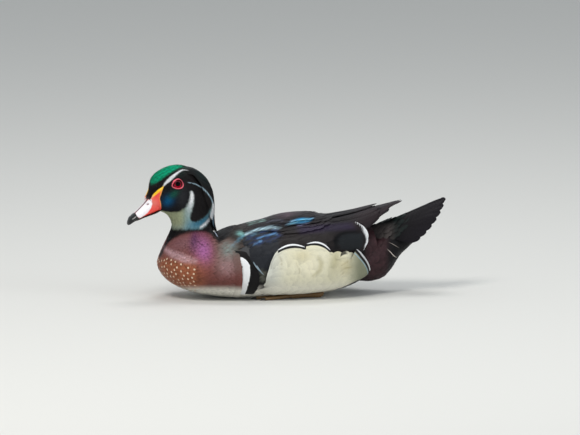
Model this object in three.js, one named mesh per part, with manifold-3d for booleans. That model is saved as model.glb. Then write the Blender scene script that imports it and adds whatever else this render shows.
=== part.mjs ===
// A drake wood duck, life size, sitting on its belly as it floats, head turned to its left.
// Millimetres, +Z up. The bird faces -X and its left side faces -Y. The floor is z = 0.
import * as THREE from 'three';
import { mergeVertices } from 'three/addons/utils/BufferGeometryUtils.js';
import Module from 'manifold-3d';

const wasm = await Module();
wasm.setup();

// Driving dimensions
const GAP = 0.3; // clearance between neighbouring pieces
const VANE_THICK = 0.8;
const VANE_RIDGE = 0.3; // height of a feather's shaft
const VANE_GAP = 0.35; // between feathers that lie over one another
const MERGE = 0.002; // vertices closer than this become one
const HEAD_TURN = THREE.MathUtils.degToRad(18); // to the bird's left
const NECK_AXIS_X = -108; // the head turns about the vertical through here
const HEAD_X = -132; // midpoint between the eyes, with the head straight
const HEAD_Z = 132.6;
const BODY_SIDES = 24; // facets round the body
const RINGS_PER_STATION = 1.6;

const EYE_RADIUS = 6;
const EYE_OUT = 13; // centre of the eyeball from the midline
const LID_LENGTH = 7.4; // half the bare ring's length along the head
const LID_HEIGHT = 6.5;
const LID_THICK = 1.1;

const WING_TIP_X = 135;
const SECONDARY_TIP_X = 85;
const TAIL_ROOT = { x: 104, z: 68 };
const TAIL_LENGTH = 88; // longest feather, from the root
const TAIL_OUTER_LENGTH = 47;
const RECTRIX_PAIRS = 7;

const TARSUS = 34;
const FOOT_Y = 33;
const HEEL_X = 36;

// Sections of the bird from the tail root round to the bill. Each runs from a point on the back to one on
// the belly, with its half width, how far down it is widest, and its roundness (2 is an ellipse).
const STATIONS = [
  { name: 'rump', back: [99, 75], belly: [106, 38], half: 24, mid: 0.48, round: 2.1 },
  { name: 'vent', back: [80, 77.5], belly: [93, 20], half: 34, mid: 0.46, round: 2.2 },
  { name: 'hip', back: [55, 80.5], belly: [67, 7], half: 45.5, mid: 0.46, round: 2.3 },
  { name: 'loin', back: [25, 82], belly: [31, 0.3], half: 53, mid: 0.47, round: 2.35 },
  { name: 'middle', back: [-5, 81], belly: [-8, -1.2], half: 56, mid: 0.48, round: 2.35 },
  { name: 'shoulder', back: [-33, 78.5], belly: [-47, -1.2], half: 59, mid: 0.495, round: 2.3 },
  { name: 'wing front', back: [-55, 79.5], belly: [-82, 1.5], half: 58.5, mid: 0.54, round: 2.15 },
  { name: 'breast', back: [-69, 75], belly: [-112, 8.5], half: 54, mid: 0.55, round: 2.15 },
  { name: 'breast front', back: [-77, 71.5], belly: [-134, 20], half: 46.5, mid: 0.54, round: 2.15 },
  { name: 'breast top', back: [-81, 73.5], belly: [-144.8, 36], half: 39, mid: 0.5, round: 2.1 },
  { name: 'neck base', back: [-83.5, 78.5], belly: [-141.2, 52], half: 31.5, mid: 0.5, round: 2.05 },
  { name: 'neck', back: [-85, 84.5], belly: [-134.2, 66], half: 26.5, mid: 0.5, round: 2.0 },
  { name: 'collar', back: [-86, 92], belly: [-128.6, 78.5], half: 23, mid: 0.5, round: 2.0 },
  { name: 'throat', back: [-86, 103], belly: [-129.6, 86.5], half: 21.3, mid: 0.52, round: 2.0 },
  { name: 'nape', back: [-87.5, 117], belly: [-133, 92.3], half: 20.4, mid: 0.54, round: 2.05 },
  { name: 'occiput', back: [-93, 131.2], belly: [-136.4, 95.6], half: 19.8, mid: 0.56, round: 2.1 },
  { name: 'crown rear', back: [-103, 142.8], belly: [-139.2, 97.6], half: 19.1, mid: 0.58, round: 2.15 },
  { name: 'crown', back: [-117, 150.4], belly: [-142.2, 99], half: 18.2, mid: 0.6, round: 2.15 },
  { name: 'brow', back: [-131, 151.2], belly: [-145, 100.2], half: 16.8, mid: 0.6, round: 2.2 },
  { name: 'forehead', back: [-145, 146.9], belly: [-148, 101.2], half: 14.8, mid: 0.6, round: 2.25 },
  { name: 'face', back: [-154.7, 139.6], belly: [-151, 102], half: 12.2, mid: 0.58, round: 2.4 },
  { name: 'bill base', back: [-157.9, 126], belly: [-154, 103], half: 9.9, mid: 0.52, round: 2.7 },
  { name: 'feather point', back: [-162.6, 116.6], belly: [-157.5, 104.5], half: 8.4, mid: 0.5, round: 2.7 },
];
const SWELLS = [
  { x: -121, z: 114, long: 15, high: 12, out: 1.9 },
  { x: -146, z: 124, long: 8, high: 8, out: -1.3 },
  { x: -133, z: 143, long: 10, high: 5, out: 0.9 },
  { x: -106, z: 131, long: 9, high: 12, out: -0.8 },
];
const TORSO_TO_NECK = 9.4; // station numbers where the pieces part
const NECK_TO_HEAD = 12.8;
const PART_STEP = 0.05; // what the gap takes of a station's length
const TURN_FROM = 9.2;

// The folded wings' outer form at stations along X: height of its top line, half width, height of that width
const WING_FORM = [
  { x: -70, top: 72, half: 55, side: 44, low: 6 },
  { x: -45, top: 79.6, half: 59.3, side: 46, low: 6 },
  { x: -20, top: 84.2, half: 60.6, side: 48, low: 6 },
  { x: 5, top: 87.6, half: 60.6, side: 50, low: 6 },
  { x: 30, top: 88.4, half: 58.5, side: 53, low: 6 },
  { x: 55, top: 88.8, half: 53, side: 57, low: 6 },
  { x: 78, top: 92.2, half: 43.5, side: 62, low: 6 },
  { x: 95, top: 96, half: 31.5, side: 71, low: 6 },
  { x: 110, top: 99.4, half: 20, side: 85, low: 6 },
  { x: 124, top: 102.6, half: 12, side: 95, low: 6 },
  { x: 138, top: 105.6, half: 7.5, side: 101, low: 6 },
];
const WING_ROUND = 2.2;

// The flank feathers' outer form, over the wing's lower edge and down to the belly
const FLANK_FORM = [
  { x: -50, top: 90, half: 61.5, side: 40, low: -1 },
  { x: -30, top: 96, half: 64.2, side: 41, low: -2.5 },
  { x: -5, top: 101, half: 66, side: 42, low: -3 },
  { x: 20, top: 102, half: 65.4, side: 43, low: -2.5 },
  { x: 45, top: 100, half: 62, side: 45, low: 0 },
  { x: 65, top: 96, half: 55.4, side: 47, low: 5 },
  { x: 82, top: 91, half: 46, side: 50, low: 12 },
  { x: 96, top: 84, half: 35, side: 52, low: 20 },
  { x: 108, top: 75, half: 23.5, side: 54, low: 31 },
];
// Tips of the flank's upper feathers: place along and up, and how steeply each points up
const FLANK_TIPS = [
  { x: -25, z: 44, rise: 72 },
  { x: -13, z: 57.5, rise: 60 },
  { x: 5, z: 62, rise: 46 },
  { x: 24, z: 62.5, rise: 36 },
  { x: 43, z: 57, rise: 28 },
  { x: 62, z: 52.5, rise: 24 },
  { x: 80, z: 47.5, rise: 14 },
  { x: 93, z: 34, rise: -4 },
];

const CREST = [
  { x: -121, z: 150.8, half: 13, wrap: 4 },
  { x: -107, z: 148.2, half: 16, wrap: 6 },
  { x: -97, z: 142, half: 18, wrap: 9 },
  { x: -88.6, z: 133.4, half: 18.6, wrap: 12 },
  { x: -82.3, z: 120.4, half: 18, wrap: 13 },
  { x: -79.8, z: 106, half: 16.5, wrap: 12 },
  { x: -79.2, z: 92.6, half: 12.5, wrap: 9 },
  { x: -77.8, z: 82, half: 8, wrap: 5 },
  { x: -76, z: 72.6, half: 2.5, wrap: 1 },
];

// The bill along the head's own forward line: heights are from the eyes' level
const BILL = [
  { out: 21, top: -8, edge: -31.4, half: 10.4 },
  { out: 27, top: -13, edge: -33.4, half: 9.9 },
  { out: 31, top: -18.6, edge: -34.6, half: 9 },
  { out: 34, top: -22, edge: -35.6, half: 8.2 },
  { out: 38.5, top: -26, edge: -37, half: 7.6 },
  { out: 44, top: -30.5, edge: -39, half: 7.3 },
  { out: 48.5, top: -33.8, edge: -41.2, half: 7 },
  { out: 52.2, top: -36.6, edge: -43.6, half: 5.8 },
  { out: 54.4, top: -40.2, edge: -45.2, half: 3.6 },
  { out: 55, top: -43, edge: -45.4, half: 1.4 },
];
const LOWER_BILL_DEPTH = 2.6;
const LOWER_BILL_END = 7.4; // the lower bill ends this many stations along
const NOSTRIL = { out: 33.5, z: -22.6, length: 2.1, height: 1.1 };
// Outline of the bare skin at the bill's base, seen from the side
const BARE_SKIN = [[15.2, -1], [22.5, -6.2], [27.4, -12.4], [30, -17.4], [36, -24], [36, -36], [17, -29.2], [20.6, -16]];

const PRIMARY_TIPS = [134.5, 129, 122];
const SECONDARIES = 3;
const TERTIAL_TIPS = [{ x: 107, z: 98 }, { x: 103, z: 93.5 }, { x: 96, z: 87.5 }];
// Rows of wing coverts: where their tips end, and the heights they span
const COVERT_TIERS = [
  { x: 66, high: 84, low: 62, count: 2 },
  { x: 42, high: 79, low: 60, count: 1 },
  { x: 16, high: 77, low: 60, count: 1 },
  { x: -10, high: 76, low: 56, count: 1 },
  { x: -24, high: 62, low: 44, count: 1 },
];
const SCAPULAR_TIERS = [
  { x: 46, count: 3, length: 50 },
  { x: 20, count: 3, length: 44 },
  { x: -6, count: 2, length: 34 },
];
const FLANK_TIERS = [
  { from: -2, to: 74, count: 4, z: 37, half: 10, rise: 12 },
];

function material(red, green, blue, roughness, metalness) {
  const colour = new THREE.Color().setRGB(red, green, blue, THREE.SRGBColorSpace);
  return new THREE.MeshStandardMaterial({ color: colour, roughness, metalness });
}

const MATERIALS = {
  breast: material(0.42, 0.2, 0.17, 0.6, 0.05),
  black: material(0.06, 0.06, 0.07, 0.5, 0.15),
  headGloss: material(0.04, 0.12, 0.13, 0.4, 0.35),
  crest: material(0.03, 0.3, 0.22, 0.35, 0.4),
  wing: material(0.11, 0.11, 0.17, 0.4, 0.35),
  scapular: material(0.1, 0.16, 0.22, 0.4, 0.35),
  flank: material(0.8, 0.76, 0.6, 0.7, 0),
  tail: material(0.05, 0.05, 0.06, 0.45, 0.15),
  maroon: material(0.2, 0.12, 0.13, 0.55, 0.1),
  billUpper: material(0.86, 0.27, 0.2, 0.3, 0),
  billLower: material(0.09, 0.08, 0.08, 0.35, 0),
  eye: material(0.55, 0.04, 0.06, 0.05, 0),
  leg: material(0.62, 0.5, 0.22, 0.55, 0),
};

// A smooth value between the entries of a list, by Catmull-Rom
function along(list, place, read) {
  const last = list.length - 1;
  const i = Math.min(Math.max(Math.floor(place), 0), last - 1);
  const f = place - i;
  const v = [i - 1, i, i + 1, i + 2].map((k) => {
    if (k < 0) return 2 * read(list[0]) - read(list[1]);
    if (k > last) return 2 * read(list[last]) - read(list[last - 1]);
    return read(list[k]);
  });
  const slopeIn = (v[2] - v[0]) / 2;
  const slopeOut = (v[3] - v[1]) / 2;
  const rise = v[2] - v[1];
  return v[1] + f * (slopeIn + f * (3 * rise - 2 * slopeIn - slopeOut + f * (slopeIn + slopeOut - 2 * rise)));
}

const smooth = (low, high, value) => THREE.MathUtils.smoothstep(value, low, high);
const mix = THREE.MathUtils.lerp;
const power = (value, exponent) => Math.sign(value) * Math.abs(value) ** exponent;

// Turns a point with the head about the neck's vertical line, by a share of the whole turn
function turned(point, share) {
  const angle = HEAD_TURN * share;
  const x = point.x - NECK_AXIS_X;
  const cos = Math.cos(angle);
  const sin = Math.sin(angle);
  return new THREE.Vector3(NECK_AXIS_X + x * cos - point.y * sin, x * sin + point.y * cos, point.z);
}

// A point of the body: place counts stations, angle is 0 on the back and a half turn on the belly
function bodyPoint(place, angle, grow = 0) {
  const read = (f) => along(STATIONS, place, f);
  const back = { x: read((s) => s.back[0]), z: read((s) => s.back[1]) };
  const belly = { x: read((s) => s.belly[0]), z: read((s) => s.belly[1]) };
  const depth = Math.hypot(belly.x - back.x, belly.z - back.z);
  const down = { x: (belly.x - back.x) / depth, z: (belly.z - back.z) / depth };
  const mid = read((s) => s.mid) * depth;
  const bend = 2 / read((s) => s.round);
  const c = Math.cos(angle);
  const reach = (c > 0 ? mid : depth - mid) + grow;
  const drop = mid - reach * power(c, bend);
  const at = new THREE.Vector3(back.x + down.x * drop, 0, back.z + down.z * drop);
  at.y = -(read((s) => s.half) + grow + swell(at.x, at.z)) * power(Math.sin(angle), bend);
  return at;
}

// Fullness of the head's sides: cheeks out, the lores between eye and bill in
function swell(x, z) {
  return SWELLS.reduce((sum, s) => {
    const away = ((x - s.x) / s.long) ** 2 + ((z - s.z) / s.high) ** 2;
    return sum + s.out * Math.exp(-away);
  }, 0);
}

function turnShare(place) {
  return smooth(TURN_FROM, NECK_TO_HEAD, place);
}

// A point of a form along X: angle is 0 on the midline and 90 degrees at the widest
function formPoint(form, x, angle, grow = 0) {
  const place = placeOf(form, x);
  const read = (f) => along(form, place, f);
  const side = read((s) => s.side);
  const c = Math.cos(angle);
  const reach = (c > 0 ? read((s) => s.top) - side : side - read((s) => s.low)) + grow;
  const bend = 2 / WING_ROUND;
  return new THREE.Vector3(x, -(read((s) => s.half) + grow) * power(Math.sin(angle), bend),
    side + reach * power(c, bend));
}

const wingPoint = (x, angle) => formPoint(WING_FORM, x, angle);
const flankPoint = (x, angle) => formPoint(FLANK_FORM, x, angle);

function placeOf(list, x) {
  let i = 0;
  while (i < list.length - 2 && list[i + 1].x < x) i += 1;
  return i + (x - list[i].x) / (list[i + 1].x - list[i].x);
}

// A point of the crest: down runs 0 to 1 from crown to tip, across -1 to 1
function crestPoint(down, across) {
  const place = down * (CREST.length - 1);
  const read = (f) => along(CREST, place, f);
  const bend = (across * Math.PI) / 2;
  const step = 0.01;
  const ahead = along(CREST, place + step, (s) => s.x) - along(CREST, place - step, (s) => s.x);
  const fall = along(CREST, place + step, (s) => s.z) - along(CREST, place - step, (s) => s.z);
  const length = Math.hypot(ahead, fall);
  const inward = read((s) => s.wrap) * (1 - Math.cos(bend));
  return new THREE.Vector3(
    read((s) => s.x) + (fall / length) * inward,
    -read((s) => s.half) * Math.sin(bend),
    read((s) => s.z) - (ahead / length) * inward,
  );
}

// The point a distance outside a surface given by chart(u, v)
function lifted(chart, u, v, lift, stepU = 0.02, stepV = 0.02) {
  const point = chart(u, v);
  const alongU = chart(u + stepU, v).sub(chart(u - stepU, v));
  const alongV = chart(u, v + stepV).sub(chart(u, v - stepV));
  const normal = alongU.cross(alongV).normalize();
  if (normal.dot(point.clone().sub(chart.centre)) < 0) normal.negate();
  return point.addScaledVector(normal, lift);
}
bodyPoint.centre = new THREE.Vector3(-20, 0, 45);
wingPoint.centre = new THREE.Vector3(30, 0, 45);
flankPoint.centre = new THREE.Vector3(30, 0, 45);
crestPoint.centre = new THREE.Vector3(-110, 0, 110);

function geometryOf(points, triangles) {
  const geometry = new THREE.BufferGeometry().setFromPoints(points);
  geometry.setIndex(triangles);
  return geometry;
}

// A closed body through rings of points, its ends closed on their middles
function loft(rings) {
  const sides = rings[0].length;
  const points = rings.flat();
  const triangles = [];
  for (let i = 0; i < rings.length - 1; i += 1) {
    for (let j = 0; j < sides; j += 1) {
      const a = i * sides + j;
      const b = i * sides + ((j + 1) % sides);
      triangles.push(a, b, a + sides, b, b + sides, a + sides);
    }
  }
  for (const end of [0, rings.length - 1]) {
    const middle = rings[end].reduce((sum, p) => sum.add(p), new THREE.Vector3()).divideScalar(sides);
    const centre = points.push(middle) - 1;
    for (let j = 0; j < sides; j += 1) {
      const a = end * sides + j;
      const b = end * sides + ((j + 1) % sides);
      triangles.push(...(end ? [a, b, centre] : [b, a, centre]));
    }
  }
  return geometryOf(points, triangles);
}

// A closed sheet between two faces over a grid, both faces split into triangles alike
function sheet(rows, columns, top, bottom) {
  const points = [];
  for (const face of [top, bottom]) {
    for (let i = 0; i <= rows; i += 1) {
      for (let j = 0; j <= columns; j += 1) points.push(face(i / rows, j / columns));
    }
  }
  const wide = columns + 1;
  const under = (rows + 1) * wide;
  const triangles = [];
  for (let i = 0; i < rows; i += 1) {
    for (let j = 0; j < columns; j += 1) {
      const a = i * wide + j;
      triangles.push(a, a + 1, a + wide, a + 1, a + wide + 1, a + wide);
      triangles.push(a + under, a + wide + under, a + 1 + under);
      triangles.push(a + 1 + under, a + wide + under, a + wide + 1 + under);
    }
  }
  const wall = (a, b) => triangles.push(b, b + under, a, a, b + under, a + under);
  for (let i = 0; i < rows; i += 1) {
    wall(i * wide, (i + 1) * wide);
    wall((i + 1) * wide + columns, i * wide + columns);
  }
  for (let j = 0; j < columns; j += 1) {
    wall(j + 1, j);
    wall(rows * wide + j, rows * wide + j + 1);
  }
  return geometryOf(points, triangles);
}

// A round limb through points, each with its radius
function limb(points, radii, sides = 8) {
  const rings = points.map((p, i) => {
    const before = points[Math.max(i - 1, 0)];
    const after = points[Math.min(i + 1, points.length - 1)];
    const axis = after.clone().sub(before).normalize();
    const across = new THREE.Vector3(0, 0, 1).cross(axis);
    if (across.length() < 0.1) across.set(0, 1, 0);
    across.normalize();
    const up = axis.clone().cross(across);
    return Array.from({ length: sides }, (_, j) => {
      const a = (j / sides) * 2 * Math.PI;
      return p.clone().addScaledVector(across, radii[i] * Math.cos(a)).addScaledVector(up, radii[i] * Math.sin(a));
    });
  });
  return loft(rings);
}

// The place on a chart that lies a distance to the side of a direction there
function beside(chart, u, v, step, offset) {
  const e = 1e-3;
  const alongU = chart(u + e, v).sub(chart(u - e, v)).divideScalar(2 * e);
  const alongV = chart(u, v + e).sub(chart(u, v - e)).divideScalar(2 * e);
  const outward = alongV.clone().cross(alongU);
  const side = alongU.clone().multiplyScalar(step[0]).addScaledVector(alongV, step[1]).cross(outward);
  side.normalize().multiplyScalar(offset);
  const [a, b, c] = [alongU.dot(alongU), alongU.dot(alongV), alongV.dot(alongV)];
  const [d, f] = [side.dot(alongU), side.dot(alongV)];
  const spread = a * c - b * b;
  return [u + (c * d - b * f) / spread, v + (a * f - b * d) / spread];
}

// Half width of a feather along its length, as a share of the widest
function vaneOutline(t, { blunt, waist, full, end }) {
  const q = Math.max(0, (t - 1 + blunt) / blunt);
  const tip = Math.max(end, Math.sqrt(1 - q * q));
  return tip * mix(waist, 1, Math.min(1, t / full));
}

const VANE_LOOK = {
  tilt: 0, sunk: 2, clear: 0.55, raised: 1.95, thick: VANE_THICK, blunt: 0.42, waist: 0.6, full: 0.3, end: 0.16,
  rows: 3,
};

// A feather lying on a chart: its root is sunk in what carries it, its tip is raised over the next tier, and
// tilt raises one edge over the feather beside it
function vane(chart, root, tip, half, look = {}) {
  const { tilt, sunk, clear, raised, thick, rows, ...shape } = { ...VANE_LOOK, ...look };
  const step = [tip[0] - root[0], tip[1] - root[1]];
  const face = (top) => (u, v) => {
    const t = 1 - (1 - u) ** 1.35;
    const side = 2 * v - 1;
    const offset = side * vaneOutline(t, shape) * half;
    const at = beside(chart, root[0] + step[0] * t, root[1] + step[1] * t, step, offset);
    const lie = t < 0.45 ? mix(-sunk, clear, t / 0.45) : mix(clear, raised, (t - 0.45) / 0.55);
    const depth = thick * mix(1, 0.7, t) + VANE_RIDGE * (1 - Math.abs(side)) * (1 - 0.5 * t);
    return lifted(chart, ...at, lie + tilt * side * Math.min(1, t / 0.3) + (top ? depth : 0));
  };
  return solidOf(sheet(rows, 2, face(true), face(false)));
}

// Feathers side by side across a chart, their tips at u, between two values of v
function rank(chart, u, [first, last], count, length, look) {
  const step = (last - first) / count;
  return Array.from({ length: count }, (_, k) => {
    const v = first + (k + 0.5) * step;
    const width = chart(u, v + step / 2).distanceTo(chart(u, v - step / 2));
    return vane(chart, [u - length, v * (look.fan ?? 1)], [u, v], width / 2 - 0.2, look);
  });
}

// The place on a form at a height
function spot(form, x, z) {
  const place = placeOf(form, x);
  const read = (f) => along(form, place, f);
  const side = read((s) => s.side);
  const reach = z > side ? read((s) => s.top) - side : side - read((s) => s.low);
  return [x, Math.acos(THREE.MathUtils.clamp(power((z - side) / reach, WING_ROUND / 2), -1, 1))];
}

// Solids and their joins and cuts
function solidOf(geometry) {
  const bare = geometry.index ? geometry.clone() : geometry;
  bare.deleteAttribute('normal');
  bare.deleteAttribute('uv');
  const merged = mergeVertices(bare, 1e-4);
  const vertProperties = merged.attributes.position.array;
  const triVerts = new Uint32Array(merged.index.array);
  const made = new wasm.Manifold(new wasm.Mesh({ numProp: 3, vertProperties, triVerts }));
  if (made.volume() > 0) return made;
  for (let i = 0; i < triVerts.length; i += 3) {
    [triVerts[i + 1], triVerts[i + 2]] = [triVerts[i + 2], triVerts[i + 1]];
  }
  return new wasm.Manifold(new wasm.Mesh({ numProp: 3, vertProperties, triVerts }));
}

function fuse(pieces) {
  return pieces.reduce((sum, piece) => sum.add(piece));
}

// The largest closed surface of a solid
function largest(solid) {
  return solid.decompose().reduce((best, piece) => (piece.volume() > best.volume() ? piece : best));
}

// A solid with copies of it moved by the gap, to cut its neighbours clear of it
function spread(solid) {
  const steps = [[0, 0, 1], [0, -1, 0], [0, -0.7, 0.7], [1, 0, 0], [-1, 0, 0]];
  return fuse([solid, ...steps.map((step) => solid.translate(step.map((value) => value * GAP)))]);
}

function mirrored(solid) {
  return solid.mirror([0, 1, 0]);
}

// A box from its lowest and highest corners
function block(low, high) {
  const size = high.map((value, k) => value - low[k]);
  const geometry = new THREE.BoxGeometry(...size);
  geometry.translate(...high.map((value, k) => (value + low[k]) / 2));
  return solidOf(geometry);
}

// Swings a straight-headed solid round with the head
function withHead(solid) {
  const angle = THREE.MathUtils.radToDeg(HEAD_TURN);
  return solid.translate([-NECK_AXIS_X, 0, 0]).rotate([0, 0, angle]).translate([NECK_AXIS_X, 0, 0]);
}

function bodyRing(place, grow, share) {
  return Array.from({ length: BODY_SIDES }, (_, j) =>
    turned(bodyPoint(place, (j / BODY_SIDES) * 2 * Math.PI, grow), share));
}

function bodyLoft(from, to, grow = 0, straight = false) {
  const count = Math.max(2, Math.round((to - from) * RINGS_PER_STATION));
  const rings = [];
  for (let i = 0; i <= count; i += 1) {
    const place = mix(from, to, i / count);
    rings.push(bodyRing(place, grow, straight ? 0 : turnShare(place)));
  }
  return solidOf(loft(rings));
}

const HEAD_END = STATIONS.length - 1;
const floorBlock = block([-250, -120, -40], [250, 120, 0]);
const torsoGrown = bodyLoft(-0.015, TORSO_TO_NECK + 0.5, GAP);
const headGrown = bodyLoft(NECK_TO_HEAD - 0.4, HEAD_END + 0.05, GAP, true);

// A place in the head's own frame, head straight: forward of the eyes, above them, to the left
const inHead = (out, up, left) => new THREE.Vector3(HEAD_X - out, -left, HEAD_Z + up);

function eyeball(radius) {
  const geometry = new THREE.SphereGeometry(radius, 14, 8);
  geometry.rotateX(Math.PI / 2);
  const centre = inHead(0, 0, EYE_OUT);
  geometry.translate(centre.x, centre.y, centre.z);
  return solidOf(geometry);
}

// The bare ring of the eyelids, pointed in front, lying on the side of the head
function lidRing() {
  const around = 16;
  const sides = 5;
  const rings = [];
  for (let i = 0; i < around; i += 1) {
    const a = (i / around) * 2 * Math.PI;
    const point = Math.max(0, Math.cos(a)) ** 6 * 1.6;
    const out = (LID_LENGTH - 1.2) * Math.cos(a) + point;
    const up = (LID_HEIGHT - 1) * Math.sin(a) - 0.5 * point;
    const left = sideOfHead(out, up);
    const centre = inHead(out, up, left);
    const outward = new THREE.Vector3(-Math.cos(a), 0, Math.sin(a));
    rings.push(Array.from({ length: sides }, (_, j) => {
      const b = (j / sides) * 2 * Math.PI;
      return centre.clone().addScaledVector(outward, LID_THICK * Math.cos(b))
        .add(new THREE.Vector3(0, -LID_THICK * 0.9 * Math.sin(b), 0));
    }));
  }
  const points = rings.flat();
  const triangles = [];
  for (let i = 0; i < around; i += 1) {
    for (let j = 0; j < sides; j += 1) {
      const a = i * sides + j;
      const b = i * sides + ((j + 1) % sides);
      const c = ((i + 1) % around) * sides + j;
      const d = ((i + 1) % around) * sides + ((j + 1) % sides);
      triangles.push(a, b, c, b, d, c);
    }
  }
  return solidOf(geometryOf(points, triangles));
}

// How far the side of the straight head is from the midline at a place seen from the side
function sideOfHead(out, up) {
  const target = inHead(out, up, 0);
  let best = { miss: Infinity, left: 0 };
  for (let place = 14; place < HEAD_END; place += 0.1) {
    for (let angle = 0.3; angle < 2.6; angle += 0.04) {
      const p = bodyPoint(place, angle);
      const miss = Math.hypot(p.x - target.x, p.z - target.z);
      if (miss < best.miss) best = { miss, left: -p.y };
    }
  }
  return best.left;
}

function makeHead() {
  const skull = bodyLoft(NECK_TO_HEAD, HEAD_END, 0, true);
  const lid = lidRing();
  const socket = eyeball(EYE_RADIUS + GAP);
  const made = fuse([skull, lid, mirrored(lid)]).subtract(socket).subtract(mirrored(socket));
  return withHead(largest(made));
}

// One half of the bill, as arched sections from its base to its tip
function billLoft(top, bottom, shrink = 0, end = BILL.length - 1) {
  const sides = 12;
  const steps = Math.round(end * 1.5);
  const rings = [];
  for (let i = 0; i <= steps; i += 1) {
    const place = (i / steps) * end;
    const read = (f) => along(BILL, place, f);
    const high = top(read);
    const low = bottom(read);
    const middle = mix(low, high, 0.3);
    rings.push(Array.from({ length: sides }, (_, j) => {
      const a = ((j + 0.5) / sides) * 2 * Math.PI;
      const c = Math.cos(a);
      const up = c > 0 ? (high - middle) * power(c, 0.85) : (middle - low) * power(c, 0.5);
      return inHead(read((s) => s.out) - shrink * (i / steps), middle + up,
        (read((s) => s.half) - shrink) * power(Math.sin(a), 0.85));
    }));
  }
  return solidOf(loft(rings));
}

function makeUpperBill() {
  const outline = new THREE.Shape(BARE_SKIN.map(([out, up]) => new THREE.Vector2(out, up)));
  const prism = new THREE.ExtrudeGeometry(outline, { depth: 40, bevelEnabled: false });
  prism.translate(0, 0, -20);
  prism.applyMatrix4(new THREE.Matrix4().makeBasis(
    new THREE.Vector3(-1, 0, 0), new THREE.Vector3(0, 0, 1), new THREE.Vector3(0, 1, 0)));
  prism.translate(HEAD_X, 0, HEAD_Z);
  const skin = bodyLoft(15, HEAD_END, 1.2, true).intersect(solidOf(prism));
  const front = billLoft((read) => read((s) => s.top), (read) => read((s) => s.edge));
  let made = fuse([front, skin]).subtract(headGrown);
  const hole = new THREE.SphereGeometry(1, 8, 5);
  hole.scale(NOSTRIL.length, 8, NOSTRIL.height);
  hole.rotateY(-0.8);
  const place = inHead(NOSTRIL.out, NOSTRIL.z, 9);
  hole.translate(place.x, place.y, place.z);
  const nostril = solidOf(hole).trimByPlane([0, -1, 0], 2.2);
  made = made.subtract(nostril).subtract(mirrored(nostril));
  return withHead(largest(made));
}

function makeLowerBill() {
  const top = (read) => read((s) => s.edge) - GAP;
  const bottom = (read) => read((s) => s.edge) - LOWER_BILL_DEPTH;
  return withHead(largest(billLoft(top, bottom, 1.3, LOWER_BILL_END).subtract(headGrown)));
}

// Faces of a sheet over a chart, between a lift outside it and a depth under it
function over(chart, place, high, low) {
  return [
    (u, v) => lifted(chart, ...place(u, v), high(u, v)),
    (u, v) => lifted(chart, ...place(u, v), low(u, v)),
  ];
}

const degrees = THREE.MathUtils.degToRad;

// The wing's arm and the feathers' roots, as a slab on the wing's form
function wingSlab(grow) {
  const front = (angle) => mix(-46, -36, smooth(degrees(60), degrees(120), angle)) - grow;
  const lower = (x) => degrees(mix(114, 84, smooth(-36, -14, x)) + grow);
  const place = (u, v) => {
    const x = mix(-46, 80, u);
    const angle = mix(degrees(7 - grow), lower(x), v);
    return [mix(front(angle), mix(80, 66, v ** 2) + grow, u), angle];
  };
  return solidOf(sheet(7, 4, ...over(wingPoint, place, () => grow, (u, v) => -mix(4.6, 3.2, v) - grow)));
}

function makeWing() {
  const pieces = [wingSlab(0).subtract(torsoGrown)];
  for (const [k, x] of PRIMARY_TIPS.entries()) {
    const tip = [x, degrees(24 + 9 * k)];
    pieces.push(vane(wingPoint, [64, degrees(22 + 8 * k)], tip, 5.4 - 0.5 * k,
      { sunk: 2.4, clear: -1.3 - 1.15 * k, raised: -1 - 1.15 * k, thick: 0.7, blunt: 0.8, rows: 3 }));
  }
  for (let k = 0; k < SECONDARIES; k += 1) {
    const f = k / (SECONDARIES - 1);
    const tip = spot(WING_FORM, 88 - (f < 0.5 ? 30 : 18) * (f - 0.5) ** 2, 81.5 - 22 * f);
    pieces.push(vane(wingPoint, [tip[0] - 40, Math.min(tip[1] + degrees(6), degrees(79))], tip, 6.2,
      { tilt: 1, sunk: 1.6, clear: 0.2, raised: 0.3, thick: 0.7, blunt: 0.3, end: 0.4 }));
  }
  for (const [k, { x, z }] of TERTIAL_TIPS.entries()) {
    const tip = spot(WING_FORM, x, z);
    pieces.push(vane(wingPoint, [x - 50, degrees(14 + 13 * k)], tip, 6.4 - 0.3 * k,
      { sunk: 1.8, clear: 2.9 - 1.1 * k, raised: 3.1 - 1.1 * k, thick: 0.7, blunt: 0.5, rows: 4 }));
  }
  for (const { x, high, low, count } of COVERT_TIERS) {
    const span = [spot(WING_FORM, x, high)[1], spot(WING_FORM, x, low)[1]];
    pieces.push(...rank(wingPoint, x, span, count, Math.min(32, x + 40), { raised: 1.8, sunk: 1.6 }));
  }
  return largest(fuse(pieces));
}

function makeScapulars() {
  const place = (u, v) => [mix(-42, mix(26, 12, v), u), degrees(mix(2.5, 41, v))];
  const edge = (u, v) => Math.sin(Math.PI * mix(0.06, 0.94, u)) * mix(1, 0.7, v);
  const faces = over(wingPoint, place, (u, v) => 1.4 + 0.7 * edge(u, v), () => 0.5);
  const pieces = [solidOf(sheet(6, 4, ...faces))];
  for (const { x, count, length } of SCAPULAR_TIERS) {
    const look = { fan: 0.9, sunk: -0.6, clear: 2.3, raised: 3.6, blunt: 0.5 };
    pieces.push(...rank(wingPoint, x, [degrees(2.5), degrees(41)], count, length, look));
  }
  return largest(fuse(pieces).subtract(block([-100, -GAP / 2, 0], [100, 50, 200])));
}

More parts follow.
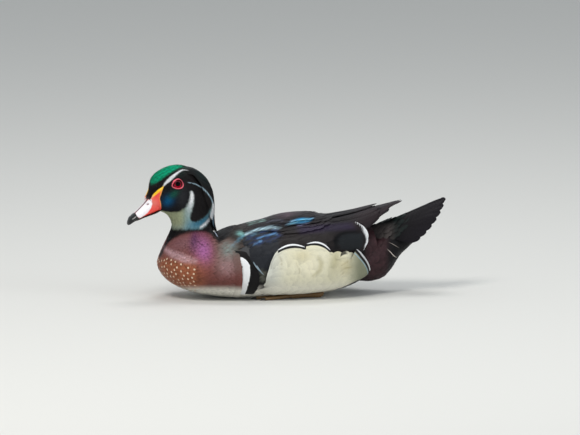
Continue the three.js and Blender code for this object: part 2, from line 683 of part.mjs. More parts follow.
function makeFlank() {
  const edgeTop = (x) => along(FLANK_TIPS, placeOf(FLANK_TIPS, x), (s) => s.z);
  const place = (u, v) => {
    const x = mix(-30, 90, u);
    const top = spot(FLANK_FORM, x, edgeTop(x) - 8)[1];
    return [x, mix(top, degrees(137), v)];
  };
  const faces = over(flankPoint, place, () => 0, (u, v) => -mix(2, 4.5, Math.sqrt(v)));
  const pad = solidOf(sheet(6, 4, ...faces)).subtract(wingSlab(GAP)).subtract(torsoGrown);
  const pieces = [largest(pad.subtract(footPocket()))];
  const feather = (tip, rise, length, half, look) => {
    const reach = length * Math.cos(degrees(rise));
    const root = spot(FLANK_FORM, tip.x - reach, tip.z - length * Math.sin(degrees(rise)));
    pieces.push(vane(flankPoint, root, spot(FLANK_FORM, tip.x, tip.z), half, look));
  };
  for (const { from, to, count, z, half, rise } of FLANK_TIERS) {
    for (let k = 0; k < count; k += 1) feather({ x: mix(from, to, k / (count - 1)), z }, rise, 33, half);
  }
  for (const tip of FLANK_TIPS) feather(tip, tip.rise, 28, 8.8, { raised: 1.4 });
  return largest(fuse(pieces));
}

// A point of the spread tail: out 0 to 1 along a feather, side -1 to 1 across the fan
function tailPoint(out, side) {
  const share = Math.abs(side);
  const rise = degrees(21.5 - 26.5 * share ** 1.2);
  const swing = degrees(19 * side);
  const length = mix(TAIL_LENGTH, TAIL_OUTER_LENGTH, share ** 1.2) * out;
  return new THREE.Vector3(
    TAIL_ROOT.x + length * Math.cos(rise) * Math.cos(swing),
    -9 * side - length * Math.cos(rise) * Math.sin(swing),
    TAIL_ROOT.z + 6 - 9 * share ** 2 + length * Math.sin(rise),
  );
}
tailPoint.centre = new THREE.Vector3(150, 0, 20);

// The space the tail takes, between two lifts
function tailSlab(high, low) {
  const place = (u, v) => [mix(-0.06, 1.04, u), mix(-1.25, 1.25, v)];
  return solidOf(sheet(1, 6, ...over(tailPoint, place, () => high, () => low)));
}

function makeTail() {
  const root = (u, v) => [mix(-0.03, 0.2, u), mix(-0.98, 0.98, v)];
  const core = solidOf(sheet(1, 6, ...over(tailPoint, root, () => 1.3, () => -2))).subtract(torsoGrown);
  const left = [];
  for (let k = 0; k < RECTRIX_PAIRS; k += 1) {
    const side = (k + 0.45) / RECTRIX_PAIRS;
    const look = { tilt: 1.3, sunk: 0.5, clear: -0.4, raised: -0.3, thick: 0.65, blunt: 0.2, waist: 0.25, full: 0.75,
      end: 0.8 };
    left.push(vane(tailPoint, [0.04, side], [1, side], mix(5.8, 5, side), look));
  }
  const half = fuse(left).trimByPlane([0, -1, 0], 0);
  return largest(fuse([core, half, mirrored(half)]));
}

// Soft feathers under the tail, from the vent to a point below the fan
const UNDERTAIL = [
  { x: 84, top: 60, low: 14, half: 35 },
  { x: 100, top: 64, low: 14, half: 30 },
  { x: 113, top: 68, low: 18, half: 24.5 },
  { x: 122, top: 71, low: 27.5, half: 19.5 },
  { x: 131, top: 73, low: 41.5, half: 14.5 },
  { x: 144, top: 73, low: 53.5, half: 9.5 },
  { x: 160, top: 73, low: 67, half: 2.5 },
];

const UNDERTAIL_TIERS = [
  { x: 120, from: 66, to: 174, count: 2, length: 27 },
  { x: 138, from: 80, to: 172, count: 2, length: 28 },
  { x: 156, from: 96, to: 166, count: 1, length: 28 },
];

function undertailPoint(x, angle) {
  const place = placeOf(UNDERTAIL, x);
  const read = (f) => along(UNDERTAIL, place, f);
  const middle = (read((s) => s.top) + read((s) => s.low)) / 2;
  const reach = (read((s) => s.top) - read((s) => s.low)) / 2;
  return new THREE.Vector3(x, -read((s) => s.half) * power(Math.sin(angle), 0.95),
    middle + reach * power(Math.cos(angle), 0.95));
}
undertailPoint.centre = new THREE.Vector3(110, 0, 50);

function makeUndertail() {
  const sides = 12;
  const rings = Array.from({ length: 7 }, (_, i) => Array.from({ length: sides }, (_, j) =>
    undertailPoint(mix(88, 157, i / 6), (j / sides) * 2 * Math.PI)));
  const flankRoom = solidOf(sheet(2, 3, ...over(flankPoint,
    (u, v) => [mix(76, 99, u), mix(degrees(50), degrees(150), v)], () => 5, () => -16)));
  const core = solidOf(loft(rings)).subtract(fuse([tailSlab(20, -3), flankRoom, mirrored(flankRoom)]));
  const left = UNDERTAIL_TIERS.flatMap(({ x, from, to, count, length }) =>
    rank(undertailPoint, x, [degrees(from), degrees(to)], count, length, { raised: 1.3, clear: 0.4 }));
  const half = fuse(left);
  return largest(fuse([core, half, mirrored(half)]).subtract(torsoGrown));
}

const RUMP_TIERS = [
  { out: 0.5, sides: [-0.46, 0, 0.46] },
  { out: 0.3, sides: [-0.26, 0.26] },
];

function makeUpperCoverts() {
  const place = (u, v) => [mix(-0.12, 0.2, u), mix(-0.6, 0.6, v)];
  const core = solidOf(sheet(2, 4, ...over(tailPoint, place, () => 3.4, () => 2.3)));
  const pieces = [core.subtract(torsoGrown)];
  for (const { out, sides } of RUMP_TIERS) {
    for (const side of sides) {
      pieces.push(vane(tailPoint, [out - 0.32, side * 0.8], [out, side], 4.8,
        { sunk: -2.4, clear: out > 0.4 ? 2.6 : 3.6, raised: out > 0.4 ? 2.3 : 3.8, waist: 0.5 }));
    }
  }
  return largest(fuse(pieces));
}

const CREST_TIERS = [
  { from: 0.46, to: 1, sides: [-0.36, 0.36], half: 6 },
  { from: 0.26, to: 0.8, sides: [-0.62, 0, 0.62], half: 6.4 },
  { from: 0.03, to: 0.5, sides: [-0.4, 0.4], half: 7 },
];

function makeCrest() {
  const place = (u, v) => [mix(0, 0.8, u), mix(-0.94, 0.94, v) * mix(1, 0.8, u)];
  const depth = (u, v) => -mix(7, 1.6, smooth(0.6, 1, u)) * (1 - 0.3 * Math.abs(2 * v - 1));
  const pieces = [solidOf(sheet(6, 4, ...over(crestPoint, place, () => 0, depth)))];
  for (const { from, to, sides, half } of CREST_TIERS) {
    for (const side of sides) {
      const look = { sunk: 1.6, clear: 0.8, raised: 1.6, blunt: 0.85 };
      pieces.push(vane(crestPoint, [from, side], [to - 0.05 * Math.abs(side), side * 0.85], half, look));
    }
  }
  const neckGrown = bodyLoft(TORSO_TO_NECK, NECK_TO_HEAD, GAP);
  return largest(withHead(fuse(pieces).subtract(headGrown)).subtract(fuse([neckGrown, torsoGrown])));
}

// Tarsus, three webbed toes and the hind toe, folded flat under the belly
const TOE_LENGTHS = [33, 40, 36];
const TOE_SPREAD = [-17, 0, 16];
const TOE_RADIUS = 1.9;
const WEB_THICK = 1;

function makeLeg(grow = 0) {
  const ankle = new THREE.Vector3(HEEL_X - TARSUS, -FOOT_Y, 3);
  const heel = new THREE.Vector3(HEEL_X, -FOOT_Y + 3, 4.2);
  const pieces = [
    limb([heel.clone().add(new THREE.Vector3(-4, 3, 9)), heel, ankle], [3.6 + grow, 3.7 + grow, 2.6 + grow]),
  ];
  const tips = TOE_LENGTHS.map((length, k) => {
    const a = degrees(TOE_SPREAD[k]);
    const ahead = new THREE.Vector3(-Math.cos(a), Math.sin(a), 0);
    const knuckle = ankle.clone().addScaledVector(ahead, length * 0.5).setZ(TOE_RADIUS + 0.3);
    const tip = ankle.clone().addScaledVector(ahead, length).setZ(TOE_RADIUS);
    const claw = ankle.clone().addScaledVector(ahead, length + 6).setZ(0.8);
    const radii = [2.3, TOE_RADIUS + 0.3, TOE_RADIUS - 0.1, 0.5];
    pieces.push(limb([ankle, knuckle, tip, claw], radii.map((radius) => radius + grow), 6));
    return tip;
  });
  for (const [a, b] of [[0, 1], [1, 2]]) {
    const edge = (u, v) => {
      const far = tips[a].clone().lerp(tips[b], v);
      const notch = 0.16 * Math.sin(Math.PI * v);
      return ankle.clone().lerp(far, mix(0.05, 0.96, u) * (1 - notch * u));
    };
    const half = WEB_THICK / 2 + grow;
    pieces.push(solidOf(sheet(4, 4, (u, v) => edge(u, v).setZ(TOE_RADIUS - 0.4 + half),
      (u, v) => edge(u, v).setZ(TOE_RADIUS - 0.4 - half))));
  }
  const hind = ankle.clone().add(new THREE.Vector3(7, 4, -0.4));
  pieces.push(limb([ankle, hind, hind.clone().add(new THREE.Vector3(3.5, 1.5, -1.4))], [1.8 + grow, 1.3 + grow, 0.5 + grow], 6));
  const solids = pieces.map((piece) => (piece.isBufferGeometry ? solidOf(piece) : piece));
  return largest(fuse(solids).subtract(floorBlock));
}

// Room for a folded foot in the belly
function footPocket() {
  const rings = [
    { x: HEEL_X + 7, y: -FOOT_Y + 3, half: 6, high: 14 },
    { x: HEEL_X + 4, y: -FOOT_Y + 3, half: 8.5, high: 17 },
    { x: HEEL_X - 10, y: -FOOT_Y + 3, half: 8, high: 17 },
    { x: HEEL_X - TARSUS + 6, y: -FOOT_Y, half: 9, high: 6.8 },
    { x: HEEL_X - TARSUS - 20, y: -FOOT_Y, half: 14, high: 5.6 },
    { x: HEEL_X - TARSUS - 44, y: -FOOT_Y, half: 19, high: 5 },
    { x: HEEL_X - TARSUS - 50, y: -FOOT_Y, half: 16, high: 3.5 },
  ].map((s) => Array.from({ length: 12 }, (_, j) => {
    const a = (j / 12) * 2 * Math.PI;
    return new THREE.Vector3(s.x, s.y + s.half * Math.sin(a), s.high * power(Math.cos(a), 0.6));
  }));
  return solidOf(loft(rings));
}

function makeTorso() {
  const whole = bodyLoft(0, TORSO_TO_NECK);
  const pocket = footPocket();
  const room = fuse([pocket, makeLeg(GAP)]);
  return largest(whole.subtract(floorBlock).subtract(room).subtract(mirrored(room)));
}

const pair = (name, solid, finish) => [[`${name}_left`, solid, finish], [`${name}_right`, mirrored(solid), finish]];

const eye = eyeball(EYE_RADIUS);
const pieces = [
  ['torso', makeTorso(), MATERIALS.breast],
  ['neck', bodyLoft(TORSO_TO_NECK + PART_STEP, NECK_TO_HEAD - PART_STEP), MATERIALS.black],
  ['head', makeHead(), MATERIALS.headGloss],
  ['crest', makeCrest(), MATERIALS.crest],
  ['bill_upper', makeUpperBill(), MATERIALS.billUpper],
  ['bill_lower', makeLowerBill(), MATERIALS.billLower],
  ['eye_left', withHead(eye), MATERIALS.eye],
  ['eye_right', withHead(mirrored(eye)), MATERIALS.eye],
  ...pair('wing', makeWing(), MATERIALS.wing),
  ...pair('scapulars', makeScapulars(), MATERIALS.scapular),
  ...pair('flank', makeFlank(), MATERIALS.flank),
  ['tail', makeTail(), MATERIALS.tail],
  ['tail_coverts_upper', makeUpperCoverts(), MATERIALS.tail],
  ['tail_coverts_lower', makeUndertail(), MATERIALS.maroon],
  ...pair('leg', makeLeg(), MATERIALS.leg),
];

// A solid's surface with its closest vertices merged, and no more than one closed surface
function finished(solid) {
  const { vertProperties, triVerts, numProp } = solid.getMesh();
  const points = [];
  for (let i = 0; i < vertProperties.length; i += numProp) {
    points.push(new THREE.Vector3().fromArray(vertProperties, i));
  }
  return mergeVertices(geometryOf(points, [...triVerts]), MERGE);
}

const duck = new THREE.Group();
duck.name = 'wood_duck';
for (const [name, solid, finish] of pieces) {
  const geometry = finished(largest(solidOf(finished(solid))));
  geometry.computeVertexNormals();
  const mesh = new THREE.Mesh(geometry, finish);
  mesh.name = name;
  duck.add(mesh);
}

export default duck;
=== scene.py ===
"""A drake wood duck, life size, with its feathers laid one by one over a plain skin.

Sizes are in millimetres until a mesh is made. +Z is up, the bird faces -X and its left side faces -Y.
Markings are placed in a side view of the bird, in steps to the tail and steps down.
"""

import math

import bpy
import numpy as np
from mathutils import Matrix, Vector

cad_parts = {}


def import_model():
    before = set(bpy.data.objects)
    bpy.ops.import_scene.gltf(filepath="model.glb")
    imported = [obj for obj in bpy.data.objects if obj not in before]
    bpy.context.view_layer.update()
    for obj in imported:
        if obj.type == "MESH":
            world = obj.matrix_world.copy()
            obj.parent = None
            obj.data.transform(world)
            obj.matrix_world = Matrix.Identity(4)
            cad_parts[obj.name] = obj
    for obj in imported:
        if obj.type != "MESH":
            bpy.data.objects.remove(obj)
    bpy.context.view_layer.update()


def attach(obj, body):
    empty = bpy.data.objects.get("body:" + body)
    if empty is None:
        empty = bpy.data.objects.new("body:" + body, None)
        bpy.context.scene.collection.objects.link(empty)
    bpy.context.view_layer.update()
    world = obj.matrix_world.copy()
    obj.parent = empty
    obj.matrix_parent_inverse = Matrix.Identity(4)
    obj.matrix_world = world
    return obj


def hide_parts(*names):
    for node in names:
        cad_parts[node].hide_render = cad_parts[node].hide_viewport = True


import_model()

MM = 0.001
SEED = 11
TINY = 1e-12
SIDES = ((False, "left"), (True, "right"))
ROUND = (-math.pi, math.pi)

# The side view: millimetres to a step, where the origin shows, and how x, y and z shift a point across and up
STEP = 1.13
ORIGIN_ACROSS, ORIGIN_DOWN = 284.4, 294.5
ACROSS_X, ACROSS_Y = 0.985, 0.174
UP_X, UP_Y, UP_Z = 0.0242, 0.137, 0.990
ACROSS, DOWN = 0, 1

# Sections from the tail root to the bill: back x, back z, belly x, belly z, half width, middle, roundness
STATIONS = np.array([
    [99, 75, 106, 38, 24, 0.48, 2.1],
    [80, 77.5, 93, 20, 34, 0.46, 2.2],
    [55, 80.5, 67, 7, 45.5, 0.46, 2.3],
    [25, 82, 31, 0.3, 53, 0.47, 2.35],
    [-5, 81, -8, -1.2, 56, 0.48, 2.35],
    [-33, 78.5, -47, -1.2, 59, 0.495, 2.3],
    [-55, 79.5, -82, 1.5, 58.5, 0.54, 2.15],
    [-69, 75, -112, 8.5, 54, 0.55, 2.15],
    [-77, 71.5, -134, 20, 46.5, 0.54, 2.15],
    [-81, 73.5, -144.8, 36, 39, 0.5, 2.1],
    [-83.5, 78.5, -141.2, 52, 31.5, 0.5, 2.05],
    [-85, 84.5, -134.2, 66, 26.5, 0.5, 2.0],
    [-86, 92, -128.6, 78.5, 23, 0.5, 2.0],
    [-86, 103, -129.6, 86.5, 21.3, 0.52, 2.0],
    [-87.5, 117, -133, 92.3, 20.4, 0.54, 2.05],
    [-93, 131.2, -136.4, 95.6, 19.8, 0.56, 2.1],
    [-103, 142.8, -139.2, 97.6, 19.1, 0.58, 2.15],
    [-117, 150.4, -142.2, 99, 18.2, 0.6, 2.15],
    [-131, 151.2, -145, 100.2, 16.8, 0.6, 2.2],
    [-145, 146.9, -148, 101.2, 14.8, 0.6, 2.25],
    [-154.7, 139.6, -151, 102, 12.2, 0.58, 2.4],
    [-157.9, 126, -154, 103, 9.9, 0.52, 2.7],
    [-162.6, 116.6, -157.5, 104.5, 8.4, 0.5, 2.7],
], float)
HEAD_END = len(STATIONS) - 1

# Swells and hollows of cheek, lore, brow and nape: x, z, length, height, amount out
SWELLS = ((-121, 114, 15, 12, 1.9), (-146, 124, 8, 8, -1.3), (-133, 143, 10, 5, 0.9),
          (-106, 131, 9, 12, -0.8))

# The head turns about the neck, and the turn grows between two sections
HEAD_TURN = math.radians(18)
TURN_FROM = 9.2
NECK_TO_HEAD = 12.8
NECK_X = -108.0
HEAD_X = -132.0
HEAD_Z = 132.6
EYE_OUT = 13.0
EYE_RADIUS = 6.0

# The folded wings' form along X: x, top, half width, height of that width, lowest
WING_FORM = np.array([
    [-70, 72, 55, 44, 6], [-45, 79.6, 59.3, 46, 6], [-20, 84.2, 60.6, 48, 6], [5, 87.6, 60.6, 50, 6],
    [30, 88.4, 58.5, 53, 6], [55, 88.8, 53, 57, 6], [78, 92.2, 43.5, 62, 6], [95, 96, 31.5, 71, 6],
    [110, 99.4, 20, 85, 6], [124, 102.6, 12, 95, 6], [138, 105.6, 7.5, 101, 6],
], float)

# The flank's form, in the same order
FLANK_FORM = np.array([
    [-50, 90, 61.5, 40, -1], [-30, 96, 64.2, 41, -2.5], [-5, 101, 66, 42, -3], [20, 102, 65.4, 43, -2.5],
    [45, 100, 62, 45, 0], [65, 96, 55.4, 47, 5], [82, 91, 46, 50, 12], [96, 84, 35, 52, 20],
    [108, 75, 23.5, 54, 31],
], float)

# The lower tail coverts: x, top, half width, lowest
UNDERTAIL = np.array([
    [84, 60, 35, 14], [100, 64, 30, 14], [113, 68, 24.5, 18], [122, 71, 19.5, 27.5], [131, 73, 14.5, 41.5],
    [144, 73, 9.5, 53.5], [160, 73, 2.5, 67],
], float)

# The crest's ridge from brow to tip: x, z, half width, depth
CREST = np.array([
    [-121, 150.8, 13, 4], [-107, 148.2, 16, 6], [-97, 142, 18, 9], [-88.6, 133.4, 18.6, 12],
    [-82.3, 120.4, 18, 13], [-79.8, 106, 16.5, 12], [-79.2, 92.6, 12.5, 9], [-77.8, 82, 8, 5],
    [-73.4, 68.5, 4.6, 2.5],
], float)
CREST_TUCK, CREST_NARROWING = 2.0, 1.4

# The tail's fan: root, lengths in the middle and outside, rise and spread in degrees, then its root's arch
TAIL_ROOT_X, TAIL_ROOT_Z = 104.0, 68.0
TAIL_LENGTH, TAIL_OUTER_LENGTH = 88.0, 47.0
TAIL_RISE, TAIL_DROOP, TAIL_SPREAD = 21.5, 26.5, 19
TAIL_FALL = 1.2
TAIL_ROOT_HALF, TAIL_ROOT_UP, TAIL_ARCH = 9, 6, 9

FORM_ROUND = 2.2
UNDERTAIL_BEND = 0.95

# The bill along the head's forward line: forward, top, edge, half width
BILL = np.array([
    [21, -8, -31.4, 10.4], [27, -13, -33.4, 9.9], [31, -18.6, -34.6, 9], [34, -22, -35.6, 8.2],
    [38.5, -26, -37, 7.6], [44, -30.5, -39, 7.3], [48.5, -33.8, -41.2, 7], [52.2, -36.6, -43.6, 5.8],
    [54.4, -40.2, -45.2, 3.6], [55, -43, -45.4, 1.4],
], float)


# Curves and forms

def along(rows, place):
    """Rows of a table at fractional places, by Catmull-Rom."""
    last = len(rows) - 1
    place = np.asarray(place, float)
    i = np.clip(np.floor(place), 0, last - 1).astype(int)
    f = (place - i)[..., None]
    ends = np.vstack([2 * rows[0] - rows[1], rows, 2 * rows[last] - rows[last - 1]])
    a, b, c, d = ends[i], ends[i + 1], ends[i + 2], ends[i + 3]
    slope_in, slope_out, rise = (c - a) / 2, (d - b) / 2, c - b
    cubic = f * (slope_in + slope_out - 2 * rise)
    return b + f * (slope_in + f * (3 * rise - 2 * slope_in - slope_out + cubic))


def power(value, exponent):
    return np.sign(value) * np.abs(value) ** exponent


def smooth(low, high, value):
    t = np.clip((np.asarray(value, float) - low) / (high - low), 0, 1)
    return t * t * (3 - 2 * t)


def mix(a, b, t):
    return a + (b - a) * t


def turned(p, share):
    """Points turned with the head about the neck, by a share of the whole turn."""
    angle = HEAD_TURN * share
    x, y = p[..., 0] - NECK_X, p[..., 1]
    return np.stack([NECK_X + x * np.cos(angle) - y * np.sin(angle),
                     x * np.sin(angle) + y * np.cos(angle), p[..., 2]], -1)


def turn_share(place):
    return smooth(TURN_FROM, NECK_TO_HEAD, place)


def straight_body(place, angle, grow=0.0):
    s = along(STATIONS, place)
    back_x, back_z, belly_x, belly_z, half, mid, roundness = [s[..., k] for k in range(7)]
    depth = np.hypot(belly_x - back_x, belly_z - back_z)
    mid = mid * depth
    bend = 2 / roundness
    c = np.cos(angle)
    drop = mid - (np.where(c > 0, mid, depth - mid) + grow) * power(c, bend)
    x = back_x + (belly_x - back_x) / depth * drop
    z = back_z + (belly_z - back_z) / depth * drop
    full = half + grow
    for at_x, at_z, long, high, out in SWELLS:
        full = full + out * np.exp(-(((x - at_x) / long) ** 2 + ((z - at_z) / high) ** 2))
    return np.stack([x, -full * power(np.sin(angle), bend), z], -1)


def body(place, angle, grow=0.0):
    return turned(straight_body(place, angle, grow), turn_share(place))


def place_of(rows, x):
    xs = rows[:, 0]
    i = np.clip(np.searchsorted(xs, x) - 1, 0, len(xs) - 2)
    return i + (x - xs[i]) / (xs[i + 1] - xs[i])


def form_point(rows, x, angle):
    s = along(rows, place_of(rows, x))
    top, half, side, low = s[..., 1], s[..., 2], s[..., 3], s[..., 4]
    c = np.cos(angle)
    bend = 2 / FORM_ROUND
    return np.stack([x, -half * power(np.sin(angle), bend),
                     side + np.where(c > 0, top - side, side - low) * power(c, bend)], -1)


def wing(x, angle):
    return form_point(WING_FORM, x, angle)


def flank(x, angle):
    return form_point(FLANK_FORM, x, angle)


def undertail(x, angle):
    s = along(UNDERTAIL, place_of(UNDERTAIL, x))
    top, half, low = s[..., 1], s[..., 2], s[..., 3]
    return np.stack([x, -half * power(np.sin(angle), UNDERTAIL_BEND),
                     (top + low) / 2 + (top - low) / 2 * power(np.cos(angle), UNDERTAIL_BEND)], -1)


def tail(out, side):
    share = np.abs(side)
    rise = np.radians(TAIL_RISE - TAIL_DROOP * share ** TAIL_FALL)
    swing = np.radians(TAIL_SPREAD * side)
    length = mix(TAIL_LENGTH, TAIL_OUTER_LENGTH, share ** TAIL_FALL) * out
    root_z = TAIL_ROOT_Z + TAIL_ROOT_UP - TAIL_ARCH * share ** 2
    return np.stack([TAIL_ROOT_X + length * np.cos(rise) * np.cos(swing),
                     -TAIL_ROOT_HALF * side - length * np.cos(rise) * np.sin(swing),
                     root_z + length * np.sin(rise)], -1)


def straight_crest(down, across):
    place = down * (len(CREST) - 1)
    s = along(CREST, place)
    step = (along(CREST, place + 0.01) - along(CREST, place - 0.01))[..., :2]
    step = step / np.linalg.norm(step, axis=-1, keepdims=True)
    bend = across * math.pi / 2
    tuck = smooth(0.5, 1, np.abs(across)) * (1 - smooth(0.5, 0.8, down))
    inward = s[..., 3] * (1 - np.cos(bend)) + CREST_TUCK * tuck
    return np.stack([s[..., 0] + step[..., 1] * inward, -(s[..., 2] - CREST_NARROWING * tuck) * np.sin(bend),
                     s[..., 1] - step[..., 0] * inward], -1)


def crest(down, across):
    return turned(straight_crest(down, across), 1.0)


def unit(vectors):
    return vectors / (np.linalg.norm(vectors, axis=-1, keepdims=True) + TINY)


# For each chart, a point inside it and the steps that its tangents are measured over
CENTRES = {body: (-20, 0, 45), wing: (30, 0, 45), flank: (30, 0, 45), undertail: (110, 0, 50),
           tail: (150, 0, 20), crest: (-110, 0, 110)}
FINE = {body: (0.02, 0.02), wing: (0.3, 0.01), flank: (0.3, 0.01), undertail: (0.3, 0.01),
        tail: (0.01, 0.01), crest: (0.005, 0.02)}


def chart_frame(chart, u, v):
    """A point of a chart, its two tangents and its outward normal."""
    e, f = FINE[chart]
    p = chart(u, v)
    du = (chart(u + e, v) - chart(u - e, v)) / (2 * e)
    dv = (chart(u, v + f) - chart(u, v - f)) / (2 * f)
    n = unit(np.cross(du, dv))
    out = p - (body_axis(u) if chart is body else np.array(CENTRES[chart], float))
    return p, du, dv, n * np.where(np.sum(n * out, -1, keepdims=True) < 0, -1.0, 1.0)


def body_axis(place):
    s = along(STATIONS, place)
    middle = np.stack([(s[..., 0] + s[..., 2]) / 2, 0 * s[..., 0], (s[..., 1] + s[..., 3]) / 2], -1)
    return turned(middle, turn_share(place))


# Side view, where the left side shows and the right side mirrors it

def shown(p):
    """Places of the side view where points show."""
    x, y, z = p[..., 0], p[..., 1], p[..., 2]
    return np.stack([ORIGIN_ACROSS + (ACROSS_X * x - ACROSS_Y * y) / STEP,
                     ORIGIN_DOWN - (UP_Z * z + UP_X * x + UP_Y * y) / STEP], -1)


def to_left(p):
    return np.stack([p[..., 0], -np.abs(p[..., 1]), p[..., 2]], -1)


def side_view(p):
    return shown(to_left(p))


def body_side_view(place, angle):
    return shown(turned(to_left(straight_body(place, angle)), turn_share(place)))


def crest_side_view(down, across):
    return shown(turned(to_left(straight_crest(down, across)), 1.0))


# Colours

def colour(red, green, blue):
    """Linear colour from display values of 0 to 255."""
    c = np.array([red, green, blue], float) / 255
    return np.where(c <= 0.04045, c / 12.92, ((c + 0.055) / 1.055) ** 2.4)


def line(points, widths, soft=0.7):
    """A mask of 1 on a line of the side view. widths are full, in steps, at each point."""
    points = np.asarray(points, float)
    widths = np.asarray(widths, float)

    def mask(q):
        best = np.full(q.shape[:-1], 1e9)
        for k in range(len(points) - 1):
            a, d = points[k], points[k + 1] - points[k]
            t = np.clip(((q - a) @ d) / (d @ d), 0, 1)
            away = np.linalg.norm(q - a - t[..., None] * d, axis=-1)
            best = np.minimum(best, away - mix(widths[k], widths[k + 1], t) / 2)
        return 1 - smooth(-soft / 2, soft / 2, best)
    return mask


def area(points, soft=1.0):
    """A mask of 1 inside an outline of the side view."""
    points = np.asarray(points, float)

    def mask(q):
        inside = np.zeros(q.shape[:-1], bool)
        away = np.full(q.shape[:-1], 1e9)
        for k in range(len(points)):
            a, b = points[k - 1], points[k]
            d = b - a
            t = np.clip(((q - a) @ d) / (d @ d), 0, 1)
            away = np.minimum(away, np.linalg.norm(q - a - t[..., None] * d, axis=-1))
            crosses = (a[1] > q[..., 1]) != (b[1] > q[..., 1])
            at = a[0] + (q[..., 1] - a[1]) / (d[1] if d[1] else 1e-9) * d[0]
            inside ^= crosses & (q[..., 0] < at)
        return smooth(-soft / 2, soft / 2, np.where(inside, away, -away))
    return mask


def rotated(dx, dy, turn):
    """Distances along and over a direction of the side view, given in degrees."""
    a = math.radians(turn)
    return dx * math.cos(a) + dy * math.sin(a), -dx * math.sin(a) + dy * math.cos(a)


def blob(x, y, wide, high, turn=0.0):
    """A mask of a soft patch of the side view, 1 at its middle."""
    def mask(q):
        along_it, over_it = rotated(q[..., 0] - x, q[..., 1] - y, turn)
        return np.exp(-((along_it / wide) ** 2 + (over_it / high) ** 2))
    return mask


def past(axis, low, high):
    """A mask that fades in along an axis of the side view."""
    return lambda q: smooth(low, high, q[..., axis])


def before(axis, low, high):
    """A mask that fades out along an axis of the side view."""
    return lambda q: 1 - smooth(low, high, q[..., axis])


def above(rise, level, soft):
    """A mask that fades in above a sloping line of the side view."""
    return lambda q: smooth(0, soft, q[..., 0] * rise - q[..., 1] + level)


def uneven(base, amount, scale, seed):
    """A mask with a lumpy pattern about a base value."""
    return lambda q: base + amount * ripple(q, scale, seed)


def streaked(turn, seed, base=0.0, amount=1.0):
    """A mask of uneven long streaks at a slope in degrees."""
    def mask(q):
        along_it, over_it = rotated(q[..., 0], q[..., 1], turn)
        lumps = ripple(np.stack([along_it * 0.3, over_it * 1.5], -1), 4.5, seed)
        return base + amount * smooth(-0.2, 0.7, lumps)
    return mask


def ripple(q, scale, seed):
    """A smooth pattern from about -1 to 1 with lumps about scale steps long."""
    rng = np.random.default_rng(SEED + seed)
    total = 0
    for _ in range(7):
        a = rng.uniform(0, 2 * math.pi)
        f = rng.uniform(0.6, 1.7) / scale
        total = total + np.sin(2 * math.pi * f * (q[..., 0] * math.cos(a) + q[..., 1] * math.sin(a))
                               + rng.uniform(0, 6.3))
    return total / 3.4


def lay_over(base, top, amount):
    amount = np.asarray(amount)[..., None]
    return base * (1 - amount) + top * amount


def flat_colour(q, shade):
    return np.zeros(q.shape[:-1] + (3,)) + shade


def lay_marks(c, q, marks, share=1.0):
    """Markings laid in turn, each a colour, its strength and the masks that hold it."""
    for shade, strength, *masks in marks:
        amount = share * strength
        for mask in masks:
            amount = amount * mask(q)
        c = lay_over(c, shade, amount)
    return c


def toned(c, shade, low, high, t):
    """Colours varied from feather to feather, and from low to high by t; where t runs along a feather, its
    root, under the feathers before it, is painted darker as a painted shade.
    """
    return c * shade[..., None] * mix(low, high, t)[..., None]


BLACK = colour(14, 12, 14)
GREY = colour(112, 114, 104)
CROWN_BLACK = colour(27, 24, 24)
GREEN = colour(0, 186, 138)
DARK_GREEN = colour(6, 52, 44)
CHEEK = colour(21, 23, 29)
CHEEK_BLUE = colour(6, 84, 128)
WHITE = colour(236, 238, 240)
# The next two colours paint the white throat in shade, with a painted green reflection
SHADED_THROAT = colour(150, 158, 128)
THROAT_SHADE = colour(128, 142, 136)
BLUE_WHITE = colour(146, 188, 214)
COLLAR_TEAL = colour(38, 104, 132)
CHESTNUT = colour(114, 64, 56)
RUST = colour(150, 88, 59)
MAGENTA = colour(160, 94, 148)
PLUM = colour(84, 44, 84)
MAUVE = colour(126, 88, 94)
PALE_BREAST = colour(198, 162, 168)
SHOULDER_TEAL_SHEEN = colour(118, 134, 130)
SHOULDER_BROWN = colour(98, 74, 66)
BUFF_SPOT = colour(222, 196, 168)
MANTLE = colour(42, 36, 32)
BELLY = colour(225, 222, 212)
MAROON = colour(56, 37, 40)
RUMP = colour(14, 13, 14)
CYAN = colour(96, 168, 196)
TEAL = colour(120, 176, 172)
TAIL_BLACK = colour(11, 10, 12)

CROWN_LINE = [(164.2, 186), (165.9, 183.6), (169, 180.8), (172, 177.9), (175.1, 175.3), (179.1, 172),
              (182.9, 170.1), (186.4, 169.6)]
POST_LINE = [(188.8, 182.8), (192.5, 183.4), (196.3, 184.4), (202.9, 188.2), (207.9, 193.1), (212, 199.8),
             (213.4, 205)]
COLLAR_LINE = [(213.5, 204), (213.8, 209), (213, 213.5), (211, 218), (208, 221.8), (204.6, 225),
               (200.4, 227.8)]
THROAT_AREA = [(162.3, 210.6), (167, 211.8), (172, 212.3), (177.2, 212.2), (182, 210.8), (186, 207.8),
               (189.2, 203.5), (190.8, 198), (190.7, 193.5), (191.1, 191.6), (191.9, 190.8), (192.8, 191.4),
               (193.9, 194.3), (194.2, 197.5), (194, 201.5), (193.4, 206), (192, 210.5), (190.8, 214),
               (190.2, 217.5), (190.6, 220.2), (193, 222), (196.5, 222.4), (200.5, 220.8), (205, 217.5),
               (208.8, 213), (211.4, 208), (212.6, 204.5), (213.6, 202.5), (214.9, 205), (215, 209),
               (214.2, 213), (211.2, 219.8), (206.5, 225.5), (202.5, 228.6), (194.6, 229.7), (184, 229.6),
               (173, 228.6), (160, 229), (157, 214)]
GREEN_PATCH = [(147, 190), (148.4, 184), (151.5, 177), (156, 170), (163, 164), (172, 161), (186, 161),
               (184.4, 166.6), (178, 168.8), (172.4, 172), (166.4, 176), (161.5, 179.8), (157, 182.4),
               (151.6, 184.6)]

